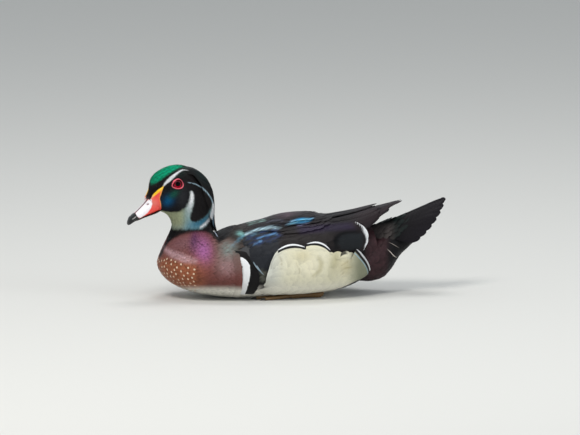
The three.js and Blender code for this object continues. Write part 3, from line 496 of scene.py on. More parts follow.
# Markings, each a colour, its strength and the masks that hold it
FACE_MARKS = [
    (DARK_GREEN, 0.3, blob(181, 174, 5, 3, -20)),
    (CHEEK, 1, blob(176, 199, 17, 14)),
    (colour(44, 45, 48), 0.8, blob(183, 198, 5, 9, 10)),
    (CHEEK_BLUE, 0.98, blob(168.6, 201, 6, 4.6, -50)),
    (colour(8, 84, 66), 0.85, blob(174.2, 194.4, 5.5, 3, -40)),
]
# Over the throat: its white is painted dull olive and blue-grey, a painted shade with painted reflections,
# darker low down; then a teal patch, a white streak and the collar line
THROAT_MARKS = [
    (SHADED_THROAT, 1),
    (colour(158, 162, 130), 0.6, blob(172, 218, 8, 12)),
    (THROAT_SHADE, 0.7, past(DOWN, 222, 230)),
    (colour(118, 156, 164), 0.8, past(ACROSS, 180, 190)),
    (COLLAR_TEAL, 0.95, blob(201, 221.5, 15, 6, -26)),
    (colour(250, 250, 252), 1, blob(192, 197, 3.6, 13, 8)),
    (WHITE, 1, line(COLLAR_LINE, [0.8, 1.8, 2.4, 2.4, 2.4, 2.2, 1.2], 1.0)),
]
HEAD_MARKS = [
    (WHITE, 1, line(CROWN_LINE, [1.4, 2.3, 3.2, 3.4, 2.7, 1.6, 1.2, 0.5])),
    (colour(190, 222, 238), 1, line(POST_LINE, [0.2, 0.4, 0.6, 0.7, 0.7, 0.8, 1.3])),
    (BLACK, 1, past(DOWN, 228.4, 230.4)),
]
GREEN_FADE = before(ACROSS, 177, 186)
GREEN_GLINTS = uneven(0.74, 0.4, 2.2, 1)


def head_colour(q):
    """Markings of the head and neck."""
    green = area(GREEN_PATCH, 3)(q) * (0.25 + 0.75 * GREEN_FADE(q))
    c = lay_over(flat_colour(q, CROWN_BLACK), GREEN, np.clip(green * GREEN_GLINTS(q), 0, 1))
    c = lay_marks(c, q, FACE_MARKS)
    c = lay_marks(c, q, THROAT_MARKS, area(THROAT_AREA)(q))
    return lay_marks(c, q, HEAD_MARKS)


# The black of the neck, with a thin strip down the front of the breast that is painted shadow
NECK_BLACK_AND_SHADOW = [(150, 225), (155, 262), (161.5, 256), (164.6, 248.5), (168.5, 243), (174, 238.6), (180, 235.4),
              (188, 233), (197, 231.8), (205, 231.8), (211, 233.6), (215, 238), (219, 243), (227, 238),
              (236, 225), (225, 200), (150, 200)]
BAR_LEFT = 240.6
GREY_SLIVER = [(259.5, 269), (266.5, 272), (266.5, 282), (261, 282), (261, 274)]


BODY_MARKS = [
    (MAUVE, 0.8, blob(182, 243, 15, 9, -15)),
    (RUST, 0.9, past(DOWN, 252, 266), before(ACROSS, 192, 216)),
    (MAGENTA, 0.95, blob(203.5, 249, 8.5, 13, -12)),
    (PLUM, 0.8, blob(194.5, 240, 4.2, 10, 8)),
    # A pale band across the breast, a painted sheen
    (PALE_BREAST, 1, uneven(0.66, 0.3, 2.6, 9),
     line([(165, 249), (173, 254), (184, 258.5), (195, 261)], [3, 7, 8, 4], 6)),
    (colour(104, 58, 54), 0.7, past(DOWN, 262, 276), past(ACROSS, 196, 214)),
    # A dark line down the breast, a painted shade
    (colour(66, 26, 22), 0.6, line([(197.2, 264), (198.4, 271), (199, 280)], [1, 2.4, 3], 3)),
    (SHOULDER_BROWN, 1, past(ACROSS, 209, 224), before(DOWN, 264, 280), uneven(0.8, 0.15, 9, 2)),
    (PALE_BREAST, 0.42, blob(227, 266, 10, 10), uneven(0.8, 0.4, 3, 8)),
    (colour(52, 43, 38), 0.9,
     area([(232, 247), (240, 240), (252, 236), (258, 242), (255, 257), (243, 258), (237, 254)], 5)),
    # A teal-grey patch on the shoulder, a painted sheen
    (SHOULDER_TEAL_SHEEN, 0.85, blob(228, 249, 9, 8, 60), uneven(0.85, 0.3, 5, 3)),
    (MANTLE, 1, above(0.42, 146, 7), past(ACROSS, 214, 222)),
    (MANTLE, 1, past(ACROSS, 250, 262)),
    # Teal and cyan streaks on the mantle, painted sheen
    (TEAL, 0.95, blob(241, 233.6, 3.4, 2.2, 20)),
    (CYAN, 0.4, line([(232, 246), (243, 236), (258, 230)], [1, 2, 1], 2)),
    (BLACK, 1, area(NECK_BLACK_AND_SHADOW, 3)),
    (BLACK, 1, past(ACROSS, 238.5, 240), past(DOWN, 248, 256), before(ACROSS, 262, 268)),
    (GREY, 0.7, area(GREY_SLIVER, 2.5)),
    (RUMP, 1, past(ACROSS, 325, 345)),
    (MAROON, 1, past(ACROSS, 362, 369), past(DOWN, 214, 226)),
    (BELLY, 1, past(DOWN, 284, 291), before(ACROSS, 372, 384)),
]
HEAD_FADES = (before(DOWN, 228.6, 230.4), before(ACROSS, 218, 222))


def body_colour(q):
    """Markings of the neck, breast, back, rump and belly."""
    return lay_marks(flat_colour(q, CHESTNUT), q, BODY_MARKS)


def coat_colour(q):
    """Markings of the head, neck and body together."""
    below, behind = HEAD_FADES
    return lay_over(body_colour(q), head_colour(q), below(q) * behind(q))


# Materials and meshes

RELIEF = 0.0002
BARB_SLANT = -0.9
BARBS = {"Scale": 9.0, "Distortion": 1.2, "Detail Scale": 1.5}
BARS = {"Scale": 3.2, "Distortion": 5.0, "Detail": 2.0, "Detail Scale": 1.3}
BAR_DARK, BAR_PALE = 0.12, 0.42


def new_material(name, roughness=0.5, sheen=0.0, coat=0.0, specular=0.5):
    material = bpy.data.materials.new(name)
    material.use_nodes = True
    shader = material.node_tree.nodes["Principled BSDF"]
    shader.inputs["Roughness"].default_value = roughness
    shader.inputs["Sheen Weight"].default_value = sheen
    shader.inputs["Coat Weight"].default_value = coat
    shader.inputs["Specular IOR Level"].default_value = specular
    return material, material.node_tree, shader


def add_node(tree, kind, inputs, **settings):
    """A node with its settings and its inputs, each a value or the socket that feeds it."""
    node = tree.nodes.new("ShaderNode" + kind)
    for name, value in settings.items():
        setattr(node, name, value)
    for name, value in inputs.items():
        if isinstance(value, bpy.types.NodeSocket):
            tree.links.new(value, node.inputs[name])
        else:
            node.inputs[name].default_value = value
    return node


def painted_colour(tree):
    return add_node(tree, "VertexColor", {}, layer_name="Paint").outputs["Color"]


def multiplied(tree, colour_in, factor):
    inputs = {"Factor": 1.0, "A": colour_in, "B": factor}
    return add_node(tree, "Mix", inputs, data_type="RGBA", blend_type="MULTIPLY").outputs["Result"]


def ranged(tree, value, low, high, from_low=0.0, from_high=1.0):
    inputs = {"Value": value, "From Min": from_low, "From Max": from_high, "To Min": low, "To Max": high}
    return add_node(tree, "MapRange", inputs).outputs["Result"]


def give_surface(tree, shader, paint, height, strength):
    """Sets a shader's colour and its fine relief."""
    bump = add_node(tree, "Bump", {"Strength": strength, "Distance": RELIEF, "Height": height})
    tree.links.new(paint, shader.inputs["Base Color"])
    tree.links.new(bump.outputs["Normal"], shader.inputs["Normal"])


def feather_material(name, roughness=0.5, sheen=0.0, barb=0.25, streak=0.2, specular=0.4, barred=0.0):
    """Painted colour with fine barbs to each side of the shaft, and wavy bars where barred."""
    material, tree, shader = new_material(name, roughness, sheen, 0.0, specular)
    vane = add_node(tree, "UVMap", {}, uv_map="Vane").outputs["UV"]
    split = add_node(tree, "SeparateXYZ", {0: vane})
    across = add_node(tree, "Math", {0: split.outputs["X"]}, operation="ABSOLUTE")
    slant = add_node(tree, "Math", {0: across.outputs[0], 1: BARB_SLANT, 2: split.outputs["Y"]},
                     operation="MULTIPLY_ADD")
    joined = add_node(tree, "CombineXYZ", {"X": slant.outputs[0]})
    barbs = add_node(tree, "TexWave", {**BARBS, "Vector": joined.outputs[0]}).outputs["Fac"]
    paint = multiplied(tree, painted_colour(tree), ranged(tree, barbs, 1 - streak, 1 + streak))
    if barred:
        bars = add_node(tree, "TexWave", {**BARS, "Vector": vane}, bands_direction="Y").outputs["Fac"]
        paint = multiplied(tree, paint, ranged(tree, bars, 1 - barred, 1.0, BAR_DARK, BAR_PALE))
    give_surface(tree, shader, paint, barbs, barb)
    return material


def painted_material(name, roughness, coat=0.0, specular=0.5, noise=0.06, scale=900.0, bump=0.1):
    """Painted colour under a fine uneven surface."""
    material, tree, shader = new_material(name, roughness, 0.0, coat, specular)
    place = add_node(tree, "TexCoord", {}).outputs["Object"]
    grain = add_node(tree, "TexNoise", {"Scale": scale, "Detail": 3.0, "Vector": place}).outputs["Fac"]
    paint = multiplied(tree, painted_colour(tree), ranged(tree, grain, 1 - noise, 1 + noise))
    give_surface(tree, shader, paint, grain, bump)
    return material


def feather_looks():
    looks = {
        "velvet": dict(roughness=0.5, barb=0.14, streak=0.12, specular=0.1),
        "gloss": dict(roughness=0.4, barb=0.24, streak=0.16, specular=0.12),
        "breast": dict(roughness=0.5, sheen=0.05, barb=0.24, streak=0.16, specular=0.16),
        "soft": dict(roughness=0.65, sheen=0.05, barb=0.2, streak=0.08, specular=0.16),
        "flank": dict(roughness=0.6, sheen=0.05, barb=0.2, streak=0.06, specular=0.2, barred=0.25),
        "quill": dict(roughness=0.38, barb=0.34, streak=0.14, specular=0.11),
        "tail": dict(roughness=0.4, barb=0.34, streak=0.16, specular=0.09),
    }
    return {name: feather_material("feather_" + name, **look) for name, look in looks.items()}


def link(name, data):
    made = bpy.data.objects.new(name, data)
    bpy.context.scene.collection.objects.link(made)
    return made


FLOOR_GAP = 0.1
DARKEST = 0.0005
FLIP = np.array([1.0, -1.0, 1.0])


def make_object(name, points, triangles, material, paint, bake, normals=None, vane=None):
    """A mesh object from arrays. points are in millimetres."""
    mesh = bpy.data.meshes.new(name)
    count = len(triangles)
    mesh.vertices.add(len(points))
    points = np.array(points, np.float32)
    points[:, 2] = np.maximum(points[:, 2], FLOOR_GAP)
    mesh.vertices.foreach_set("co", (points * MM).ravel())
    mesh.loops.add(count * 3)
    mesh.loops.foreach_set("vertex_index", np.asarray(triangles, np.int32).ravel())
    mesh.polygons.add(count)
    mesh.polygons.foreach_set("loop_start", np.arange(0, count * 3, 3, dtype=np.int32))
    mesh.polygons.foreach_set("loop_total", np.full(count, 3, np.int32))
    corner = np.asarray(triangles).ravel()
    for label, uv in (("OFBake", bake), ("Vane", vane)):
        if uv is not None:
            layer = mesh.uv_layers.new(name=label)
            layer.data.foreach_set("uv", uv[corner].astype(np.float32).ravel())
    attribute = mesh.color_attributes.new(name="Paint", type="FLOAT_COLOR", domain="POINT")
    rgba = np.ones((len(points), 4), np.float32)
    rgba[:, :3] = np.clip(paint, DARKEST, 1)
    attribute.data.foreach_set("color", rgba.ravel())
    mesh.update()
    mesh.validate()
    mesh.shade_smooth()
    if normals is not None:
        mesh.normals_split_custom_set_from_vertices(normals.astype(np.float32))
    made = link(name, mesh)
    mesh.materials.append(material)
    return made


def pairs(u, v):
    return np.stack([u, v], 1)


def grid_triangles(rows, columns, close=False):
    """Triangles over a grid of rows by columns of points."""
    i, j = np.meshgrid(np.arange(rows - 1), np.arange(columns if close else columns - 1), indexing="ij")
    a = (i * columns + j).ravel()
    b = (i * columns + (j + 1) % columns).ravel()
    c, d = a + columns, b + columns
    return np.concatenate([np.stack([a, b, c], 1), np.stack([b, d, c], 1)])


def vane_triangles(rows, columns):
    """Triangles of one closed vane: a grid on top, and the same below but for its shared edges."""
    top = np.arange(rows * columns).reshape(rows, columns)
    under = top.copy()
    inner = columns - 2
    under[:, 1:-1] = rows * columns + np.arange(rows * inner).reshape(rows, inner)
    faces = []
    for i in range(rows - 1):
        for j in range(columns - 1):
            faces += [(top[i, j], top[i, j + 1], top[i + 1, j]),
                      (top[i, j + 1], top[i + 1, j + 1], top[i + 1, j]),
                      (under[i, j], under[i + 1, j], under[i, j + 1]),
                      (under[i, j + 1], under[i + 1, j], under[i + 1, j + 1])]
    for i, flip in ((0, False), (rows - 1, True)):
        for j in range(columns - 1):
            ring = [top[i, j], under[i, j], under[i, j + 1], top[i, j + 1]]
            ring = [p for k, p in enumerate(ring) if p != ring[k - 1]]
            for k in range(1, len(ring) - 1):
                face = (ring[0], ring[k], ring[k + 1])
                faces.append(face[::-1] if flip else face)
    return np.array(faces)


# Half widths along a feather by kind: places from root to tip, and shares of the full half width there
OUTLINES = {
    "round": ([0, 0.12, 0.35, 0.62, 0.82, 0.94, 1], [0.34, 0.62, 0.9, 1, 0.95, 0.84, 0.72]),
    "quill": ([0, 0.1, 0.4, 0.75, 0.9, 0.97, 1], [0.3, 0.7, 0.95, 1, 0.85, 0.55, 0.18]),
    "point": ([0, 0.15, 0.4, 0.65, 0.85, 1], [0.4, 0.8, 1, 0.85, 0.5, 0.08]),
    "fan": ([0, 0.15, 0.4, 0.7, 0.9, 1], [0.35, 0.55, 0.8, 0.96, 1, 0.97]),
    "tertial": ([0, 0.15, 0.4, 0.75, 0.9, 1], [0.4, 0.8, 1, 0.95, 0.7, 0.2]),
    "lock": ([0, 0.2, 0.5, 0.8, 1], [0.5, 0.9, 1, 0.6, 0.06]),
    "square": ([0, 0.1, 0.5, 0.85, 0.96, 1], [0.3, 0.6, 0.9, 1, 0.92, 0.55]),
}


ROW_CROWDING = 1.25
RISE_END, TILT_END = 0.4, 0.3
STEEPEST_ACROSS, STEEPEST_ALONG = 0.6, 0.5
VANE_DEPTH = ([0, 0.2, 0.8, 1], [0.6, 1, 0.8, 0.25])
BAKE_WIDE, BAKE_LONG = 0.0015, 0.003
VANE_UNIT = 10


def vane_lie(t, sunk, clear, raised, curl):
    """Height over the chart along a feather: sunk at the root, clear further on, raised at the tip."""
    rising = mix(-sunk, clear, t / RISE_END)
    return np.where(t < RISE_END, rising, mix(clear, raised, (t - RISE_END) / (1 - RISE_END))) + curl * t ** 3


def chart_shift(side, du, dv):
    """The step on a chart that moves a point one millimetre to the side."""
    a, b, c = np.sum(du * du, -1), np.sum(du * dv, -1), np.sum(dv * dv, -1)
    d, f = np.sum(side * du, -1), np.sum(side * dv, -1)
    room = a * c - b * b + TINY
    return np.stack([(c * d - b * f) / room, (a * f - b * d) / room], -1)


def view_of(chart, at, top):
    if chart is body:
        return body_side_view(at[..., 0], at[..., 1])
    return crest_side_view(at[..., 0], at[..., 1]) if chart is crest else side_view(top)


class Vanes:
    """Feathers gathered for one object."""

    def __init__(self):
        self.points, self.triangles, self.paint, self.normals, self.bake, self.vane = [], [], [], [], [], []
        self.count = 0

    def lay(self, chart, root, tip, half, paint, *, rows=5, columns=3, outline="round", sunk=1.0, clear=0.3,
            raised=0.8, thick=0.35, tilt=0.0, camber=0.2, curl=0.0, lift=0.0, bow=0.2, sweep=0.0,
            mirror=False):
        """Adds feathers on a chart from roots to tips, both N by 2, each half wide.

        paint(view, t, s, k) gives their colours, where view is the side view of each point, t runs along the
        feather, s across it, and k is the feather's number."""
        root, tip = np.asarray(root, float), np.asarray(tip, float)
        number = len(root)
        if not number:
            return
        half = np.broadcast_to(np.asarray(half, float), (number,))[:, None, None]
        lift = np.broadcast_to(np.asarray(lift, float), (number,))[:, None, None]
        t = 1 - (1 - np.linspace(0, 1, rows)) ** ROW_CROWDING
        s = np.linspace(-1, 1, columns)
        share = np.interp(t, *OUTLINES[outline])[:, None]
        step = (tip - root)[:, None]
        centre = root[:, None] + step * t[None, :, None]
        p, du, dv, n = chart_frame(chart, centre[..., 0], centre[..., 1])
        ahead = du * step[..., :1] + dv * step[..., 1:]
        side = unit(np.cross(ahead, n))
        offset = s * share * half
        bent = (sweep * t * (1 - t) * 4)[:, None] * np.ones((number, 1, columns))
        at = centre[:, :, None] + chart_shift(side, du, dv)[:, :, None] * (offset + bent)[..., None]
        at = at - step[:, :, None] * (bow * (t[:, None] * share) * s ** 2)[None, ..., None]
        q, _, _, m = chart_frame(chart, at[..., 0], at[..., 1])

        lie = vane_lie(t, sunk, clear, raised, curl)
        tilted = tilt * np.minimum(1, t / TILT_END)[:, None]
        height = lie[:, None] + tilted * s - camber * s ** 2 * share + lift
        top = q + m * height[..., None]
        depth = thick * np.interp(t, *VANE_DEPTH)[:, None]
        under = (top - m * (depth * (1 - s ** 2))[None, ..., None])[:, :, 1:-1]

        length = np.linalg.norm(np.diff(p, axis=1), axis=-1).sum(1)[:, None, None]
        slope_s = (tilted - 2 * camber * s * share) / (share * half)
        slope_t = np.gradient(lie, t)[:, None] / length
        slope_s = np.clip(slope_s, -STEEPEST_ACROSS, STEEPEST_ACROSS)[..., None]
        slope_t = np.clip(slope_t, -STEEPEST_ALONG, STEEPEST_ALONG)[..., None]
        normal = unit(m - slope_s * side[:, :, None] - slope_t * unit(ahead)[:, :, None])

        tt = np.broadcast_to(t[:, None], top.shape[:-1])
        ss = np.broadcast_to(s, top.shape[:-1])
        painted = paint(view_of(chart, at, top), tt, ss, np.arange(number)[:, None, None])
        flat = np.stack([offset * np.ones_like(tt), tt * length], -1) / VANE_UNIT
        spot = UNWRAPS[chart](root)[:, None, None]
        patch = spot + np.stack([ss * BAKE_WIDE, (tt - 0.5) * BAKE_LONG], -1)
        if mirror:
            top, under, normal = top * FLIP, under * FLIP, normal * FLIP
        points = np.concatenate([top.reshape(number, -1, 3), under.reshape(number, -1, 3)], 1)

        def both(values):
            inner = values[:, :, 1:-1]
            size = values.shape[-1]
            together = [values.reshape(number, -1, size), inner.reshape(number, -1, size)]
            return np.concatenate(together, 1).reshape(-1, size)

        each = points.shape[1]
        faces = vane_triangles(rows, columns)
        middle = columns // 2
        turned_in = np.cross(top[0, 1, middle] - top[0, 0, middle], top[0, 1, -1] - top[0, 1, 0])
        if np.sum(turned_in * normal[0, 1, middle]) > 0:
            faces = faces[:, ::-1]
        base = self.count + np.arange(number) * each
        self.triangles.append((faces[None] + base[:, None, None]).reshape(-1, 3))
        self.points.append(points.reshape(-1, 3))
        self.paint.append(both(painted))
        self.normals.append(both(normal))
        self.bake.append(both(patch))
        self.vane.append(both(flat))
        self.count += number * each

    def make(self, name, material):
        parts = (self.points, self.triangles, self.paint, self.bake, self.normals, self.vane)
        points, triangles, *layers = [np.concatenate(part) for part in parts]
        return make_object(name, points, triangles, material, *layers)


def scatter(chart, u_range, v_range, spacing, tries, seed, keep=None):
    """Places on a chart no closer than a spacing in millimetres, spread evenly."""
    rng = np.random.default_rng(SEED + seed)
    u = rng.uniform(*u_range, tries)
    v = rng.uniform(*v_range, tries)
    if keep is not None:
        kept = keep(u, v)
        u, v = u[kept], v[kept]
    p = chart(u, v)
    r = np.broadcast_to(spacing(u, v) if callable(spacing) else spacing, u.shape)
    cell = float(r.max())
    keys = np.floor(p / cell).astype(int)
    grid = {}
    chosen = []
    near = [(a, b, c) for a in (-1, 0, 1) for b in (-1, 0, 1) for c in (-1, 0, 1)]
    places, radii, cells = p.tolist(), r.tolist(), keys.tolist()
    for k in range(len(places)):
        x, y, z = places[k]
        limit = radii[k] ** 2
        cx, cy, cz = cells[k]
        free = True
        for a, b, c in near:
            for ox, oy, oz in grid.get((cx + a, cy + b, cz + c), ()):
                if (x - ox) ** 2 + (y - oy) ** 2 + (z - oz) ** 2 < limit:
                    free = False
                    break
            if not free:
                break
        if free:
            grid.setdefault((cx, cy, cz), []).append((x, y, z))
            chosen.append(k)
    return u[chosen], v[chosen]


def finish_piece(made, slot, *nodes):
    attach(made, "root")
    if nodes:
        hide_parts(*nodes)
    return made


def jitter(rng, number, amount):
    return rng.uniform(-amount, amount, number)


# Where a feather's root falls on the texture

BAKE_EDGE, BAKE_SPAN = 0.02, 0.94
FORM_START, FORM_SPAN = -70, 260


def bake_spot(across, up):
    return pairs(BAKE_EDGE + BAKE_SPAN * across, BAKE_EDGE + BAKE_SPAN * up)


def body_unwrap(root):
    return bake_spot(root[:, 0] / HEAD_END, root[:, 1] / (2 * math.pi) + 0.5)


def form_unwrap(root):
    return bake_spot((root[:, 0] - FORM_START) / FORM_SPAN, root[:, 1] / (2 * math.pi) + 0.5)


def sheet_unwrap(root):
    return bake_spot(root[:, 0], root[:, 1] * 0.5 + 0.5)


UNWRAPS = {body: body_unwrap, wing: form_unwrap, flank: form_unwrap, undertail: form_unwrap,
           tail: sheet_unwrap, crest: sheet_unwrap}


# The head's surface

SEARCH_ANGLES = (0.02, 3.1)
SEARCH_STEPS = 90
SEARCH_ROUNDS = 6
NUDGE = 0.01
FLATTEST = 1e-3


def on_body(x, z, low=11, high=22):
    """Chart place and angle of a point on the body's left side, seen straight from the side, unturned."""
    x, z = np.broadcast_arrays(np.asarray(x, float), np.asarray(z, float))
    shape = x.shape
    x, z = x.ravel(), z.ravel()
    places, angles = np.meshgrid(np.linspace(low, high, SEARCH_STEPS),
                                 np.linspace(*SEARCH_ANGLES, SEARCH_STEPS), indexing="ij")
    known = straight_body(places.ravel(), angles.ravel())
    nearest = ((known[None, :, 0] - x[:, None]) ** 2 + (known[None, :, 2] - z[:, None]) ** 2).argmin(1)
    place, angle = places.ravel()[nearest], angles.ravel()[nearest]
    for _ in range(SEARCH_ROUNDS):
        p = straight_body(place, angle)
        a = (straight_body(place + NUDGE, angle) - p) / NUDGE
        b = (straight_body(place, angle + NUDGE) - p) / NUDGE
        ex, ez = x - p[:, 0], z - p[:, 2]
        det = a[:, 0] * b[:, 2] - b[:, 0] * a[:, 2]
        det = np.where(np.abs(det) < FLATTEST, FLATTEST, det)
        place = np.clip(place + np.clip((ex * b[:, 2] - b[:, 0] * ez) / det, -0.3, 0.3), low - 1, high)
        angle = np.clip(angle + np.clip((a[:, 0] * ez - ex * a[:, 2]) / det, -0.2, 0.2), 0.001, 3.14)
    return place.reshape(shape), angle.reshape(shape)


def on_head(forward, up):
    return on_body(HEAD_X - np.asarray(forward, float), HEAD_Z + np.asarray(up, float))


def head_out(forward, up):
    """How far the head's surface lies out from its middle plane."""
    return -straight_body(*on_head(forward, up))[..., 1]


def from_head(forward, left, up):
    """Points from head directions, turned with the head."""
    return turned(np.stack([HEAD_X - forward, -left, HEAD_Z + up], -1), 1.0)


# The bare skin at the bill's root, as forward and up from the eye, and the section it starts from
BARE_SKIN = [(15.2, -1), (22.5, -6.2), (27.4, -12.4), (30, -17.4), (36, -24), (36, -36), (17, -29.2),
             (20.6, -16)]
BARE_FROM, BARE_FULL = 17, 18
EYE_SIDE = 8
FAR = 99


def bare_amount(place, angle, soft=1.2):
    p = straight_body(place, angle)
    q = np.stack([HEAD_X - p[..., 0], p[..., 2] - HEAD_Z], -1)
    return area(BARE_SKIN, soft)(q) * smooth(BARE_FROM, BARE_FULL, place)


def eye_away(place, angle):
    """Distance from the nearer eye, as seen from the side."""
    p = straight_body(place, angle)
    away = np.hypot(HEAD_X - p[..., 0], p[..., 2] - HEAD_Z)
    return np.where(np.abs(p[..., 1]) > EYE_SIDE, away, FAR)


# Pieces

def closed_loft(rings):
    """Points and triangles of rings joined in turn, with both ends closed."""
    rows, columns = rings.shape[:2]
    points = rings.reshape(-1, 3)
    ends = np.stack([rings[0].mean(0), rings[-1].mean(0)])
    triangles = grid_triangles(rows, columns, close=True)
    j = np.arange(columns)
    k = (j + 1) % columns
    first, last = rows * columns, rows * columns + 1
    start = np.stack([np.full(columns, first), k, j], 1)
    stop = np.stack([np.full(columns, last), (rows - 1) * columns + j, (rows - 1) * columns + k], 1)
    return np.concatenate([points, ends]), np.concatenate([triangles, start, stop])


def loft_paint(colours):
    """A grid's colours as rows, with one more for each closed end."""
    paint = colours.reshape(-1, 3)
    return np.concatenate([paint, paint[:1], paint[-1:]])


def ring_grid(low, high, rows, columns):
    """Places from low to high by angles all round."""
    return np.meshgrid(np.linspace(low, high, rows), np.linspace(*ROUND, columns, endpoint=False),
                       indexing="ij")


def facing_out(points, triangles):
    """Triangles turned so that a closed surface has a positive volume."""
    a, b, c = points[triangles[:, 0]], points[triangles[:, 1]], points[triangles[:, 2]]
    return triangles if np.sum(np.cross(a, b) * c) > 0 else triangles[:, ::-1]


def grid_bake(rows, columns, edge=0.01, span=0.98):
    i, j = np.meshgrid(np.linspace(0, 1, rows), np.linspace(0, 1, columns), indexing="ij")
    bake = np.stack([edge + i * span, edge + j * span], -1).reshape(-1, 2)
    ends = np.array([[edge, edge + span / 2], [edge + span, edge + span / 2]])
    return np.concatenate([bake, ends])


def make_loft(name, rings, paint, material):
    """A closed piece from a grid of rings, painted point by point."""
    points, triangles = closed_loft(rings)
    return make_object(name, points, facing_out(points, triangles), material, paint,
                       grid_bake(*rings.shape[:2]))


SKIN_DEPTH, HEAD_SKIN_DEPTH = -2.2, -0.9
SKIN_THINS = (11, 14)
SOCKET_DEPTH = 2.4
SOCKET_EDGE = (3.2, 5.8)


def make_skin():
    """The one skin of body, neck and head under the feathers, with hollows for the eyes."""
    rows, columns = ((300, 150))
    place, angle = ring_grid(0, HEAD_END, rows, columns)
    depth = mix(SKIN_DEPTH, HEAD_SKIN_DEPTH, smooth(*SKIN_THINS, place))
    depth = depth - SOCKET_DEPTH * (1 - smooth(*SOCKET_EDGE, eye_away(place, angle)))
    paint = loft_paint(coat_colour(body_side_view(place, angle)))
    made = make_loft("skin", body(place, angle, depth), paint, painted_material("skin", 0.7, noise=0.12))
    return finish_piece(made, "breast", "torso", "neck", "head")


def lay_body(vanes, u, v, length, half, paint, rng, **look):
    """Feathers on the body's chart from roots at u, v, lying to the tail."""
    _, du, _, _ = chart_frame(body, u, v)
    reach = np.broadcast_to(length, u.shape) / np.linalg.norm(du, axis=-1)
    tip = pairs(np.maximum(u - reach, 0.02), v + jitter(rng, len(u), 0.02))
    vanes.lay(body, pairs(u, v), tip, half, paint, **look)


def varied(number, rng, amount=0.08):
    return 1 + rng.uniform(-amount, amount, number)


# The head's coat: its sections, where the face's finer feathers begin, and a feather's length and half width
HEAD_COAT = (10.9, 21.97)
FACE = (15, 20)
HEAD_LONG, HEAD_HALF = 4.9, 0.95
NAPE_ANGLES = (0.4, 0.62)
NAPE_FROM, NAPE_TO = (9, 10), (15, 16.5)
BARE_LIMIT = 0.35
EYE_CLEARANCE = 6.2


def make_head_coat(looks):
    """Small flat feathers of the face, crown and throat."""
    rng = np.random.default_rng(SEED + 21)
    close = 1.02
    tries = 150000

    def spacing(u, v):
        return close * mix(1.15, 0.78, smooth(*FACE, u))

    def keep(u, v):
        return (bare_amount(u, v) < BARE_LIMIT) & (eye_away(u, v) > EYE_CLEARANCE)

    u, v = scatter(body, HEAD_COAT, ROUND, spacing, tries, 1, keep)
    shade = varied(len(u), rng, 0.12)
    nape = (1 - smooth(*NAPE_ANGLES, np.abs(v))) * smooth(*NAPE_FROM, u) * (1 - smooth(*NAPE_TO, u))

    def paint(view, t, s, k):
        return toned(lay_over(coat_colour(view), CROWN_BLACK, nape[k] + 0 * t), shade[k], 0.9, 1.06, t)

    size = mix(1.0, 0.55, smooth(*FACE, u)) * rng.uniform(0.85, 1.15, len(u))
    vanes = Vanes()
    lay_body(vanes, u, v, HEAD_LONG * size, HEAD_HALF * size, paint, rng, rows=3, outline="lock",
             clear=-0.3, raised=0.35, thick=0.3, tilt=0.05, camber=0.12)
    return finish_piece(vanes.make("coat_head", looks["velvet"]), "head")


# The coat of breast and neck: its sections, where the neck's finer feathers begin, and a feather's size
BREAST_COAT = (4.7, 11.6)
NECK = (6.5, 10.5)
BREAST_LONG, BREAST_HALF = 11, 3.0
BREAST_EDGE_BACK = 9
BREAST_TOP, BREAST_LOW = 246, 290

# The spots lie below a sloping line, in front of an upright one and above the belly
SPOTS_RISE, SPOTS_X, SPOTS_TOP, SPOTS_BACK, SPOTS_LOW = 0.46, 160, 252, 194.5, 294
SPOTTED = (5.5, 9.6)
SPOT_SPACING, SPOT_LONG, SPOT_HALF = 4.8, 2.8, 1.0

# The breast's rear edge beside the bars: heights and x
EDGE_HEIGHTS = [10, 24, 34, 45, 54]
EDGE_X = [-57.2, -57.4, -58, -59.4, -60.3]
EDGE_FROM, EDGE_TO, EDGE_STEP = 4, 56, 1.3
EDGE_LONG, EDGE_HALF = 11, 2.3
TIP_DROP, ROOT_LIFT = 0.6, 0.6
TIP_SECTIONS, ROOT_SECTIONS = (3, 11), (3, 12)
EDGE_INSET = 2.6


def lay_breast(vanes, rng):
    close = 2.9
    tries = 42000

    def spacing(u, v):
        return close * mix(1.25, 0.72, smooth(*NECK, u))

    def keep(u, v):
        view = body_side_view(u, v)
        ahead_of_bars = view[..., 0] < BAR_LEFT - BREAST_EDGE_BACK
        return ahead_of_bars | (view[..., 1] < BREAST_TOP) | (view[..., 1] > BREAST_LOW)

    u, v = scatter(body, BREAST_COAT, ROUND, spacing, tries, 2, keep)
    shade = varied(len(u), rng, 0.08)
    size = mix(1.25, 0.62, smooth(*NECK, u)) * rng.uniform(0.88, 1.12, len(u))

    def paint(view, t, s, k):
        return toned(coat_colour(view), shade[k], 0.84, 1.12, smooth(0.5, 1, t))

    lay_body(vanes, u, v, BREAST_LONG * size, BREAST_HALF * size, paint, rng, rows=7, sunk=1.6, clear=-0.4,
             raised=0.2, thick=0.3, tilt=0.05, camber=0.16, bow=0.26)


def lay_breast_spots(vanes, rng):
    def spotted(u, v):
        view = body_side_view(u, v)
        x, y = view[..., 0], view[..., 1]
        return (y - SPOTS_RISE * (x - SPOTS_X) > SPOTS_TOP) & (x < SPOTS_BACK) & (y < SPOTS_LOW)

    def pale(view, t, s, k):
        return flat_colour(view, BUFF_SPOT)

    u, v = scatter(body, SPOTTED, ROUND, SPOT_SPACING, 9000, 5, spotted)
    lay_body(vanes, u, v, SPOT_LONG, SPOT_HALF, pale, rng, sunk=0.3, clear=0.35, raised=0.4, thick=0.2,
             camber=0.1)


